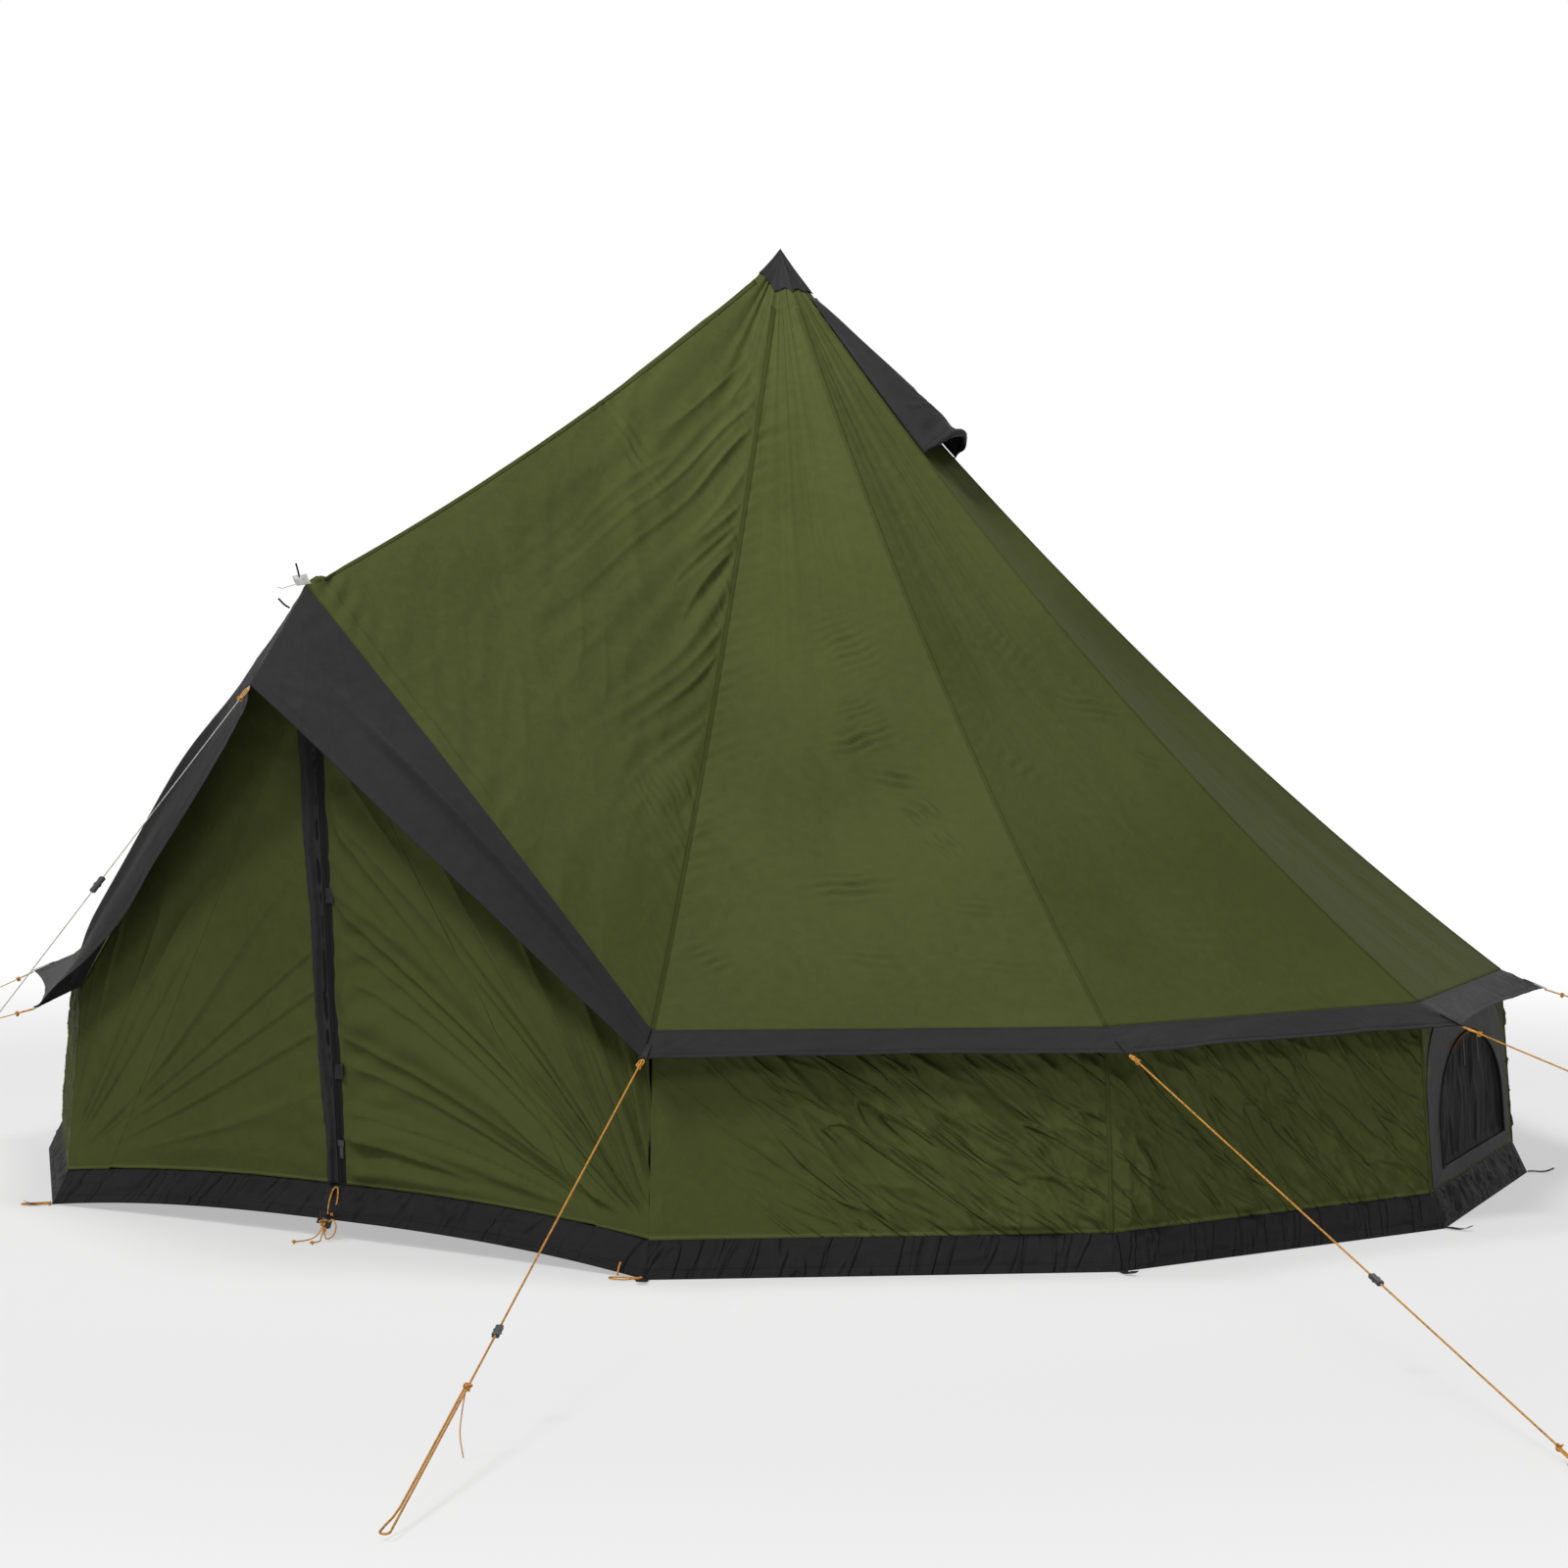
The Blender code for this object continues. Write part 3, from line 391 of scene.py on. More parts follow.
def noise(x, y, seed):
    """Smooth noise from about -1 to 1."""
    column, row = np.floor(x), np.floor(y)
    u, v = x - column, y - row

    def pull(dx, dy):
        turn = hashed(column + dx, row + dy, seed) * pi
        return np.cos(turn) * (u - dx) + np.sin(turn) * (v - dy)

    ease_u = u * u * u * (u * (u * 6.0 - 15.0) + 10.0)
    ease_v = v * v * v * (v * (v * 6.0 - 15.0) + 10.0)
    low = pull(0, 0) + (pull(1, 0) - pull(0, 0)) * ease_u
    high = pull(0, 1) + (pull(1, 1) - pull(0, 1)) * ease_u
    return 1.5 * (low + (high - low) * ease_v)


def step(value, low, high):
    """Smooth rise from 0 to 1."""
    share = np.clip((value - low) / (high - low), 0.0, 1.0)
    return share * share * (3.0 - 2.0 * share)


def plateau(value, start, high, last, end):
    """Smooth rise to 1, level between, and smooth fall to 0."""
    return step(value, start, high) * (1.0 - step(value, last, end))


def bell(value, centre, width):
    """Smooth hump of height 1."""
    return np.exp(-(((value - centre) / width) ** 2))


def turned(u, v, turn):
    """Distances along and across a direction."""
    return u * cos(turn) + v * sin(turn), -u * sin(turn) + v * cos(turn)


def soft_folds(u, v, turn, pitch, length, seed):
    """Soft folds that run along a direction."""
    along, across = turned(u, v, turn)
    wander = 0.5 * noise(along / length * 1.7, across / pitch * 0.4, seed + 11)
    return noise(along / length, across / pitch + wander, seed)


def ripples(u, v, centre, reach, turn, pitch, seed):
    """A short cluster of small ripples."""
    along, across = turned(u - centre[0], v - centre[1], turn)
    window = bell(along, 0.0, reach[0]) * bell(across, 0.0, reach[1])
    phase = across / pitch * 2.0 * pi + 2.2 * noise(along / 0.07, across / 0.10, seed)
    return window * np.sin(phase)


# Where the cloth runs


def vec(x, y, z):
    """Points from their coordinates."""
    return np.stack(np.broadcast_arrays(x, y, z), -1).astype(float)


def mixed(first, second, share):
    """Points part of the way between two."""
    return first + (second - first) * np.asarray(share)[..., None]


def around(angle):
    """Sideways direction at a corner."""
    return np.array((-sin(angle), cos(angle), 0.0))


def corner_angle(index):
    """Direction of a base corner; corner 0 is the right door corner."""
    return FIRST_CORNER + index * SIDE_ANGLE


def slack(t, sag):
    """Drop of the roof cloth below a straight line from top to edge."""
    return sag * 4.0 * t * (1.0 - t)


class Tent:
    """Where every edge and sheet of the tent runs."""

    def __init__(self, sizes):
        self.sizes = sizes
        self.base = sizes.base_radius
        self.band = self.base - BAND_INSET
        self.eave = self.band - EAVE_INSET
        self.tip_radius = self.eave + sizes.skirt_reach
        self.tip_height = sizes.eave_height - TIP_DROP
        self.top = np.array((0.0, 0.0, sizes.roof_top))
        self.door_half = self.base * sin(DOOR_ANGLE / 2.0)
        self.head = np.array((0.0, HEAD_INSET - self.base, sizes.head_height))
        self.visor_tip = self.head + np.array(VISOR_PEAK)
        self.leaf_foot = self.door_half - LEAF_INSET
        self.leaf_apex = sizes.head_height - LEAF_DROP
        self.leaf_high = self.leaf_apex - LEAF_CUT

    def ring(self, angle, radius, height):
        """Points at an angle, a radius and a height."""
        return vec(radius * np.cos(angle), radius * np.sin(angle), height)

    def side(self, side, s, radius, height):
        """Points along one side of the tent, from corner to corner."""
        first, last = corner_angle(side), corner_angle(side + 1)
        start = self.ring(first, radius, height) + GAP / 2.0 * around(first)
        end = self.ring(last, radius, height) - GAP / 2.0 * around(last)
        return mixed(start, end, s)

    def wall_radius(self, height):
        """Radius of the walls' corners at a height."""
        share = (height - self.sizes.band_height) / (self.sizes.eave_height - self.sizes.band_height)
        return self.band + (self.eave - WALL_CLEARANCE - self.band) * share

    def roof_at(self, side, s, share):
        """Roof panel at a share of the line from the top to the eave."""
        edge = self.side(side, s, self.eave, self.sizes.eave_height)
        blend = mixed(around(corner_angle(side)), -around(corner_angle(side + 1)), s)
        point = mixed(self.top + GAP / 2.0 * blend * (1.0 - share)[..., None], edge, share)
        point[..., 2] -= slack(share, self.sizes.ridge_sag + self.sizes.panel_bow * 4.0 * s * (1.0 - s))
        return point

    def roof(self, side, s, t):
        """Roof panel from under the cap down to the eave."""
        start = ROOF_HOLE / self.eave
        return self.roof_at(side, s, start + (1.0 - start) * t)

    def seam(self, sign, s):
        """Seam between roof, visor and door front, from the head to the corner."""
        corner = self.ring(FIRST_CORNER, self.eave, self.sizes.eave_height)
        return mixed(self.head, corner, s) * np.array((sign, 1.0, 1.0))

    def door_roof_at(self, sign, s, share):
        """Roof panel over the door at a share of the line from the top to the visor's seam."""
        corner_side = np.array((sign * sin(FIRST_CORNER), -cos(FIRST_CORNER), 0.0))
        shift = GAP / 2.0 * mixed(np.array((sign, 0.0, 0.0)), corner_side, s)
        sag = self.sizes.front_sag + (self.sizes.ridge_sag - self.sizes.front_sag) * s
        point = mixed(self.top, self.seam(sign, s), share) + shift
        point[..., 2] -= slack(share, sag + self.sizes.panel_bow * 4.0 * s * (1.0 - s))
        return point

    def door_roof(self, sign, s, t):
        """Roof panel over the door from under the cap down to the visor's seam."""
        start = -ROOF_HOLE / self.head[1]
        return self.door_roof_at(sign, s, start + (1.0 - start) * t)

    def skirt(self, side, s, t):
        """Edge band of one side, its hem hollow between the corners."""
        t = 0.0075 + 0.9925 * t
        hollow = self.sizes.skirt_hollow * (0.75 if side == SIDE_COUNT - 1 else 1.0)
        reach = t * (self.sizes.skirt_reach - hollow * 4.0 * s * (1.0 - s))
        return self.side(side, s, self.eave + reach, self.sizes.eave_height - TIP_DROP * t)

    def visor(self, sign, s, t):
        """Half of the visor, from its seam out to its free edge."""
        corner = self.ring(FIRST_CORNER, self.tip_radius, self.tip_height)
        top = self.seam(1.0, s) + np.array((0.0, -2.0 * GAP, 0.0))
        point = mixed(top, mixed(self.visor_tip, corner, s), t)
        point[..., 2] += 0.012 * 4.0 * s * (1.0 - s) * (1.0 - t)
        point += GAP / 2.0 * mixed(
            np.array((1.0, 0.0, 0.0)), np.array((sin(FIRST_CORNER), -cos(FIRST_CORNER), 0.0)), s
        )
        return point * np.array((sign, 1.0, 1.0))

    def wall(self, side, s, t):
        """Wall of one side, from the tray's band up to the eave."""
        low = self.sizes.band_height + GAP
        height = low + (self.sizes.eave_height - SOLID_DEPTH - GAP - low) * t
        return self.side(side, s, self.wall_radius(height), height)

    def sill(self, x):
        """Lift of the tray's edge along the door."""
        return self.sizes.sill_lift * np.maximum(0.0, 1.0 - (np.abs(x) / self.door_half) ** 2.5)

    def door_y(self, height):
        """Place of the leaning door front at a height."""
        low = -self.band * DOOR_CHORD
        high = self.head[1] + WALL_CLEARANCE
        return low + (high - low) * (height - self.sizes.band_height) / (
            self.head[2] - self.sizes.band_height
        )

    def fold_x(self, height):
        """Distance of a leaf's fold line from the zip at a height."""
        share = (height - self.sizes.band_height) / (self.leaf_apex - self.sizes.band_height)
        return self.leaf_foot * (1.0 - share)

    def leaf(self, sign, s, t):
        """Door leaf, from the zip out to its fold line."""
        low = self.sizes.band_height + GAP
        foot = np.full_like(s, low)
        for _ in range(4):
            foot = low + self.sill(GAP / 2.0 + (self.fold_x(foot) - 1.5 * GAP) * s)
        foot = foot + 0.0025 * np.maximum(0.0, 14.0 * (s - 1.0) + 1.0)
        height = foot + (self.leaf_high - foot) * t
        x = GAP / 2.0 + (self.fold_x(height) - 1.5 * GAP) * s
        return vec(sign * x, self.door_y(height), height)

    def beside(self, sign, s, t):
        """Cloth fixed beside a door leaf, up to the visor's seam."""
        low = self.sizes.band_height + GAP
        eave = self.sizes.eave_height - SOLID_DEPTH - GAP
        high = self.head[2] - SOLID_DEPTH - 2.0 * GAP
        height = low + (high - low) * t
        near = vec(np.maximum(self.fold_x(height), 0.0) + GAP, self.door_y(height), height)
        corner = self.ring(FIRST_CORNER, self.wall_radius(height), height)
        corner[..., 0] -= GAP
        lean = (self.head[2] - SOLID_DEPTH - GAP - height) / (self.head[2] - self.sizes.eave_height)
        far_y = (self.head[1] + WALL_CLEARANCE) * (1.0 - lean)
        far_y = far_y - (self.eave - WALL_CLEARANCE) * DOOR_CHORD * lean
        seam = vec(lean * self.eave * sin(DOOR_ANGLE / 2.0), far_y, height)
        point = mixed(near, np.where((height <= eave)[..., None], corner, seam), s)
        lift = self.sill(point[..., 0]) * np.clip(1.0 - (height - low) / (0.5 * (eave - low)), 0.0, 1.0)
        point[..., 2] += lift
        point[..., 1] += (self.door_y(height + lift) - self.door_y(height)) * (1.0 - s)
        point[..., 0] -= lift * self.leaf_foot / (self.leaf_apex - self.sizes.band_height) * (1.0 - s)
        return point * np.array((sign, 1.0, 1.0))

    def wall_ring(self, s, radius, height):
        """Points round the walls, without the door's side."""
        place = np.clip(s, 0.0, 1.0) * SIDE_COUNT
        index = np.minimum(place.astype(int), SIDE_COUNT - 1)
        turns = np.array([corner_angle(number) for number in range(SIDE_COUNT + 1)])
        start = self.ring(turns[index], radius, height)
        end = self.ring(turns[index + 1], radius, height)
        return mixed(start, end, place - index)

    def eave_tape(self, s, t):
        """Tape inside the eave, from the walls up to the roof."""
        height = self.sizes.eave_height - 0.016 + 0.0145 * t
        return self.wall_ring(s, self.wall_radius(height) - 0.0022, height)

    def foot_tape(self, s, t):
        """Tape inside the walls' foot, over the tray's edge."""
        height = self.sizes.band_height - 0.008 + 0.018 * t
        return self.wall_ring(s, self.wall_radius(height) - 0.0026, height)

    def visor_tape(self, sign, s, t):
        """Tape inside the visor's seam, from the side cloth up to the roof."""
        point = self.seam(sign, s)
        point[..., 1] += 0.0042
        point[..., 2] += 0.0146 * t - 0.016
        return point

    def tray_ring(self, s, radius, height):
        """Points round the tray; the door's side takes the last share and is drawn up."""
        turns = np.array(
            [corner_angle(index) for index in range(SIDE_COUNT + 1)] + [corner_angle(0) + 2.0 * pi]
        )
        place = np.clip(s, 0.0, 1.0) * (SIDE_COUNT + 1)
        index = np.minimum(place.astype(int), SIDE_COUNT)
        share = place - index
        start = self.ring(turns[index], radius, height)
        end = self.ring(turns[index + 1], radius, height)
        point = mixed(start, end, share)
        return point, index == SIDE_COUNT

    def tray_band(self, s, t):
        """Upright band of the tray, drawn up under the door."""
        radius = self.base + (self.band - self.base) * t
        point, door = self.tray_ring(s, radius, self.sizes.band_height * t)
        lift = np.where(door, self.sill(point[..., 0] * self.base / radius), 0.0)
        point[..., 2] += lift
        return point

    def tray_floor(self, s, t):
        """Floor of the tray, from its middle out to the band."""
        radius = (self.base - 0.004) * (0.008 + 0.992 * t)
        point, door = self.tray_ring(s, radius, np.full_like(s, 0.0042))
        share = np.maximum(0.0, (t - 0.85) / 0.15)
        lift = np.where(door, self.sill(point[..., 0] * self.base / radius) * share, 0.0)
        point[..., 2] += lift
        return point

    def cap(self, s, t):
        """Pointed cap over the top, its edge hollow and wavy between the seams."""
        place = (s % 1.0) * (SIDE_COUNT + 2)
        index = np.minimum(place.astype(int), SIDE_COUNT + 1)
        local = place - index
        hollow = 0.12 * 4.0 * local * (1.0 - local)
        wave = 1.0 - hollow + 0.035 * noise(place * 2.3, place * 0.0, 71) * step(t, 0.5, 1.0)
        point = np.zeros((*s.shape, 3))
        for side in range(SIDE_COUNT + 2):
            mask = index == side
            share = (CAP_REACH / self.eave * wave * t)[mask]
            if side < SIDE_COUNT:
                point[mask] = self.roof_at(side, local[mask], share)
            else:
                sign, across = (-1.0, 1.0 - local[mask]) if side == SIDE_COUNT else (1.0, local[mask])
                point[mask] = self.door_roof_at(sign, across, share * (1.12 - 0.08 * across))
        point[..., 2] += SOLID_DEPTH + 0.0016 + 0.016 * np.maximum(1.0 - t, 0.0) ** 1.4
        return point

    def hood(self, s, t):
        """Vent hood on the window side's roof panel."""
        start = CAP_REACH / self.eave + 0.004
        point = self.roof_at(WINDOW_SIDE, s, start + (HOOD_END - start) * t)
        crown = (4.0 * np.clip(s * (1.0 - s), 0.0, 1.0)) ** 0.8
        lift = HOOD_LIFT * crown * np.maximum(t, 0.0) ** 0.75
        return point + np.array((0.0, 0.0, 0.0016 + SOLID_DEPTH)) + self.hood_out() * lift[..., None]

    def hood_out(self):
        """Direction in which the hood stands out."""
        out = np.array((0.65 * cos(WINDOW_TURN), 0.65 * sin(WINDOW_TURN), 1.0))
        return out / np.linalg.norm(out)

    def window(self, across, height, depth):
        """Points on the window wall: across and up from its foot's middle, and out from it."""
        turn = WINDOW_TURN
        flat = cos(SIDE_ANGLE / 2.0)
        low_radius = self.wall_radius(np.float64(0.0)) * flat
        base = np.array((low_radius * cos(turn), low_radius * sin(turn), 0.0))
        high_radius = (self.eave - WALL_CLEARANCE) * flat
        top = np.array((high_radius * cos(turn), high_radius * sin(turn), self.sizes.eave_height))
        up = (top - base) / np.linalg.norm(top - base)
        right = around(turn)
        out = np.cross(right, up)
        spot = np.asarray(height)[..., None] * up + np.asarray(across)[..., None] * right
        return base + spot + np.asarray(depth)[..., None] * out


# Cloth sheets


class Cloth:
    """A sheet: where each point lies, and how far its folds stand out there."""

    def __init__(self, place, relief=None, inside=INSIDE):
        self.place = place
        self.relief = relief
        self.inside = inside
        middle = np.array((0.5,))
        across, along = self.slopes(middle, middle)
        outward = place(middle, middle) - inside
        self.sign = 1.0 if float(np.sum(np.cross(across, along) * outward)) > 0.0 else -1.0

    def slopes(self, s, t):
        """Steps across and along the sheet near a point."""
        near = 1e-3
        across = self.place(s + near, t) - self.place(s - near, t)
        along = self.place(s, t + near) - self.place(s, t - near)
        return across, along

    def points(self, s, t, lift=0.0):
        """Points on the folded sheet, raised by a lift."""
        base = self.place(s, t)
        across, along = self.slopes(s, t)
        normal = np.cross(across, along)
        normal *= self.sign / np.maximum(np.linalg.norm(normal, axis=-1, keepdims=True), 1e-12)
        height = lift if self.relief is None else lift + self.relief(base, s, t)
        return base + normal * np.broadcast_to(height, s.shape)[..., None]

    def flat(self):
        """Greatest width and length of the cut cloth."""
        s, t = np.meshgrid(np.linspace(0.0, 1.0, 25), np.linspace(0.0, 1.0, 25))
        grid = self.place(s.ravel(), t.ravel()).reshape(25, 25, 3)
        width = np.linalg.norm(np.diff(grid, axis=1), axis=-1).sum(1).max()
        length = np.linalg.norm(np.diff(grid, axis=0), axis=-1).sum(0).max()
        return float(width), float(length)


def finished_mesh(name, bm):
    """The bmesh as a mesh of its own."""
    mesh = bpy.data.meshes.new(name)
    bm.to_mesh(mesh)
    bm.free()
    return mesh


def sheet_mesh(name, cloth, columns, rows):
    """Even grid laid on a cloth, with its chart in metres."""
    bm = bmesh.new()
    bm.loops.layers.uv.new("cloth")
    bmesh.ops.create_grid(bm, x_segments=columns, y_segments=rows, size=0.5, calc_uvs=True)
    if cloth.sign < 0.0:
        bmesh.ops.reverse_faces(bm, faces=bm.faces)
    mesh = finished_mesh(name, bm)
    spots = np.empty(len(mesh.vertices) * 3)
    mesh.vertices.foreach_get("co", spots)
    spots = spots.reshape(-1, 3)
    mesh.vertices.foreach_set("co", cloth.points(spots[:, 0] + 0.5, spots[:, 1] + 0.5).ravel())
    width, length = cloth.flat()
    chart = np.empty(len(mesh.loops) * 2)
    mesh.uv_layers["cloth"].uv.foreach_get("vector", chart)
    chart = (chart.reshape(-1, 2) - np.array((0.5, 0.0))) * np.array((width, length))
    mesh.uv_layers["cloth"].uv.foreach_set("vector", chart.ravel())
    mesh.update()
    return mesh


def add_piece(name, data, look, body, nodes=()):
    """Put a piece in the scene, on its body and in place of its solids."""
    piece = bpy.data.objects.new(name, data)
    bpy.context.scene.collection.objects.link(piece)
    data.materials.append(look)
    if hasattr(data, "shade_smooth"):
        data.shade_smooth()
    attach(piece, body)
    if nodes:
        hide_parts(*nodes)
    return piece


def add_cloth(
    name, cloth, grid, look, body="tent", nodes=(), thickness=None, cut=None
):
    """A sheet of cloth with its thickness, cut where a cut is given."""
    mesh = sheet_mesh(name, cloth, *grid)
    if cut:
        cut(mesh)
    areas = np.empty(len(mesh.polygons))
    mesh.polygons.foreach_get("area", areas)
    piece = add_piece(name, mesh, look, body, nodes)
    wall = piece.modifiers.new("thickness", "SOLIDIFY")
    wall.thickness = thickness or bpy.context.scene.tent_sizes.cloth
    wall.offset = -1.0
    width, length = cloth.flat()
    area = min(max(float(areas.sum()), 0.301 * width * length), width * length)
    return piece


def join_tape(left, left_edge, right, right_edge, half, width, low, high):
    """Tape over the seam of two sheets: edge 0 or 1 tells which side of each one is sewn."""

    def place(s, t):
        t = low + (high - low) * t
        reach = 2.0 * s - 1.0
        inset = np.abs(reach) * half / width(t)
        first = left.points(np.where(left_edge, 1.0 - inset, inset), t, 0.0009)
        second = right.points(np.where(right_edge, 1.0 - inset, inset), t, 0.0009)
        return mixed(first, second, step(reach, -0.25, 0.25))

    return Cloth(place)


# Folds of each sheet, laid out by these flat sizes

ROOF_WIDTH, ROOF_LENGTH = 1.039, 2.78
SEAM_LENGTH, FRONT_RIDGE = 1.36, 2.12
BAND_WIDTH, WALL_WIDTH, WALL_HEIGHT = 1.08, 1.04, 0.46


def panel_width(t):
    """Width of a roof panel at a share of its length."""
    return ROOF_WIDTH * np.maximum(t, 0.02)


def door_roof_length(s):
    """Length of a roof panel over the door, from its front ridge to the corner's seam."""
    return FRONT_RIDGE + (ROOF_LENGTH - FRONT_RIDGE) * s


def ridges(u, v, turn, pitch, length, seed, sharp=1.6):
    """Thin raised creases that run along a direction, with flatter cloth between them."""
    return np.clip(1.0 - 2.2 * np.abs(soft_folds(u, v, turn, pitch, length, seed)), 0.0, 1.0) ** sharp


def spread(u, v, focus, count, length, seed, thin=0.0):
    """Folds that spread from a pulled point: count of them in a radian, thin ones as sharp creases."""
    du, dv = u - focus[0], v - focus[1]
    far = np.hypot(du, dv)
    turn = np.arctan2(dv, du)
    wander = 0.35 * noise(far / length * 1.3, turn * 3.0, seed + 5)
    value = noise(turn * count * 2.0 + wander, far / length, seed)
    if thin:
        value = np.clip(1.0 - thin * np.abs(value), 0.0, 1.0) ** 1.6
    return value * step(far, 0.02, 0.22)


def seam_puckers(v, away, strength, seed, pitch=0.030):
    """Short slanting ripples that start at a seam."""
    patch = 0.3 + 0.7 * step(noise(v * 2.2, away * 0.0, seed), -0.3, 0.5)
    ramp = (1.0 - bell(away, 0.0, 0.010)) * np.exp(-away / 0.055)
    wave = noise(v / pitch + away / 0.045, away / 0.10, seed + 1)
    return strength * patch * ramp * wave


# Small clusters of ripples: share across, share down, reach along and across, turn, pitch, height
RIPPLES = {
    0: (
        (0.60, 0.600, 0.072, 0.036, -0.38, 0.034, 0.0081),
        (0.70, 0.655, 0.049, 0.040, 0.35, 0.032, 0.0081),
        (0.75, 0.700, 0.052, 0.055, 0.80, 0.034, 0.0081),
        (0.79, 0.745, 0.043, 0.040, 1.05, 0.030, 0.0068),
        (0.48, 0.800, 0.080, 0.050, -0.10, 0.034, 0.0076),
        (0.82, 0.835, 0.052, 0.040, 0.25, 0.028, 0.0051),
        (0.49, 0.900, 0.055, 0.060, 0.15, 0.036, 0.0040),
        (0.83, 0.915, 0.070, 0.040, 0.12, 0.034, 0.0036),
        (0.64, 0.480, 0.060, 0.120, -0.45, 0.028, 0.0040),
        (0.62, 0.560, 0.045, 0.050, -0.45, 0.026, 0.0046),
        (0.10, 0.900, 0.030, 0.080, -0.70, 0.034, 0.0046),
    ),
    1: (
        (0.80, 0.560, 0.072, 0.045, 0.40, 0.034, 0.0051),
        (0.88, 0.640, 0.043, 0.036, 0.70, 0.028, 0.0048),
        (0.22, 0.640, 0.040, 0.080, -0.80, 0.036, 0.0022),
        (0.55, 0.470, 0.050, 0.100, -0.50, 0.032, 0.0020),
        (0.45, 0.880, 0.070, 0.060, 0.10, 0.044, 0.0020),
    ),
}


def roof_relief(side):
    """Folds of a roof panel: tension lines from the top, puckers at the seams, small ripple clusters."""
    seed = side * 7 + 1

    def relief(points, s, t):
        width = panel_width(t)
        u, v = (s - 0.5) * width, t * ROOF_LENGTH
        calm = np.clip(4.0 * s * (1.0 - s), 0.0, 1.0)
        foot = 1.0 - step(t, 0.975, 1.0)
        value = 0.0060 * noise(s * 3.0, v * 0.40, seed) * calm
        value += 0.0026 * noise(s * 8.0, v * 0.55, seed + 1) * calm
        value += 0.0010 * noise(s * 22.0, v * 0.9, seed + 2) * calm * (1.0 - step(t, 0.5, 0.9))
        value += 0.0008 * soft_folds(u, v, radians(80.0), 0.030, 0.30, seed + 3) * calm
        value += seam_puckers(v, s * width, 0.0095 if side == 0 else 0.0030, seed + 4)
        value += seam_puckers(v + 0.37, (1.0 - s) * width, 0.0028, seed + 5)
        top_pull = np.exp(-v / 0.30) * np.exp(-np.minimum(s, 1.0 - s) * width / 0.03)
        value += 0.0025 * noise(v / 0.022, s * 3.0, seed + 8) * top_pull
        eave = ROOF_LENGTH - v
        value += 0.0016 * noise(u / 0.040, eave / 0.06, seed + 6) * np.exp(-eave / 0.05)
        for index, (at_s, at_t, along, across, turn, pitch, height) in enumerate(RIPPLES.get(side, ())):
            centre = ((at_s - 0.5) * ROOF_WIDTH * at_t, at_t * ROOF_LENGTH)
            value += height * ripples(u, v, centre, (along, across), turn, pitch, 700 + index)
        return value * foot * step(t, 0.0, 0.03)

    return relief


def door_roof_relief(sign):
    """Folds of a roof panel over the door, pulled down from the corner seam, and the pole's sleeve."""
    seed = 91 if sign > 0 else 97

    def relief(points, s, t):
        width = SEAM_LENGTH * np.maximum(t, 0.02)
        v = t * door_roof_length(s)
        u = (s - 1.0) * width
        calm = np.clip(4.0 * s * (1.0 - s), 0.0, 1.0)
        value = 0.0110 * noise(s * 2.6, v * 0.6, seed) * calm
        value += 0.0040 * noise(s * 7.0, v * 0.7, seed + 1) * calm
        near = np.exp(u / 0.30) * (1.0 - bell(u, 0.0, 0.03))
        reach = step(t, 0.10, 0.25) * (1.0 - step(t, 0.60, 0.86))
        value += 0.0150 * soft_folds(u, v, radians(116.0), 0.070, 1.10, seed + 2) * near * reach
        value += 0.0110 * ridges(u, v, radians(119.0), 0.070, 0.90, seed + 3) * near * reach
        value += seam_puckers(v, -u, 0.0085, seed + 4, 0.034)
        value += 0.0050 * soft_folds(u, v, radians(76.0), 0.10, 0.9, seed + 8) * calm * step(t, 0.1, 0.3)
        value += 0.0030 * ridges(u, v, radians(100.0), 0.14, 0.5, seed + 9) * calm * step(t, 0.45, 0.8)
        value += 0.0034 * ripples(u, v, (-0.42, 0.92), (0.14, 0.05), 0.35, 0.045, seed + 6)
        value += 0.0030 * ripples(u, v, (-0.12, 1.98), (0.05, 0.10), 0.70, 0.030, seed + 7)
        edge = (1.0 - t) * door_roof_length(s)
        hemmed = np.exp(-edge / 0.07) * step(edge, 0.0, 0.02)
        value += 0.0022 * noise(s * 40.0, edge / 0.10, seed + 5) * hemmed
        sleeve = (1.0 - step(edge, 0.052, 0.070)) * step(edge, 0.0, 0.012) * (1.0 - step(s, 0.30, 0.62))
        value += 0.0085 * sleeve
        value -= 0.0050 * bell(edge, 0.078, 0.012) * (1.0 - step(s, 0.25, 0.50))
        head = bell(s, 0.02, 0.10) * bell(edge, 0.07, 0.05)
        value += 0.0050 * np.sin(s * 130.0 + edge * 40.0) * head
        return value * step(t, 0.0, 0.03) * step(edge, 0.0, 0.008)

    return relief


def skirt_relief(seed):
    """Slack of the edge band, with its stitched hem and gathers beside the corners."""

    def relief(points, s, t):
        u = s * BAND_WIDTH
        free = step(t, 0.0, 0.35)
        value = 0.0040 * soft_folds(u, t * 0.10, radians(-14.0), 0.060, 0.40, seed) * free
        corner = np.exp(-s / 0.11) + np.exp(-(1.0 - s) / 0.11)
        value += 0.0045 * ridges(u, t * 0.10, radians(-30.0), 0.030, 0.16, seed + 1) * corner * free
        value -= 0.0012 * bell(t, 0.86, 0.02)
        value += 0.0009 * noise(u / 0.018, t * 3.0, seed + 2) * (bell(t, 0.93, 0.06) + bell(t, 0.06, 0.05))
        return value * plateau(s, 0.0, 0.02, 0.98, 1.0) * step(t, 0.0, 0.04)

    return relief


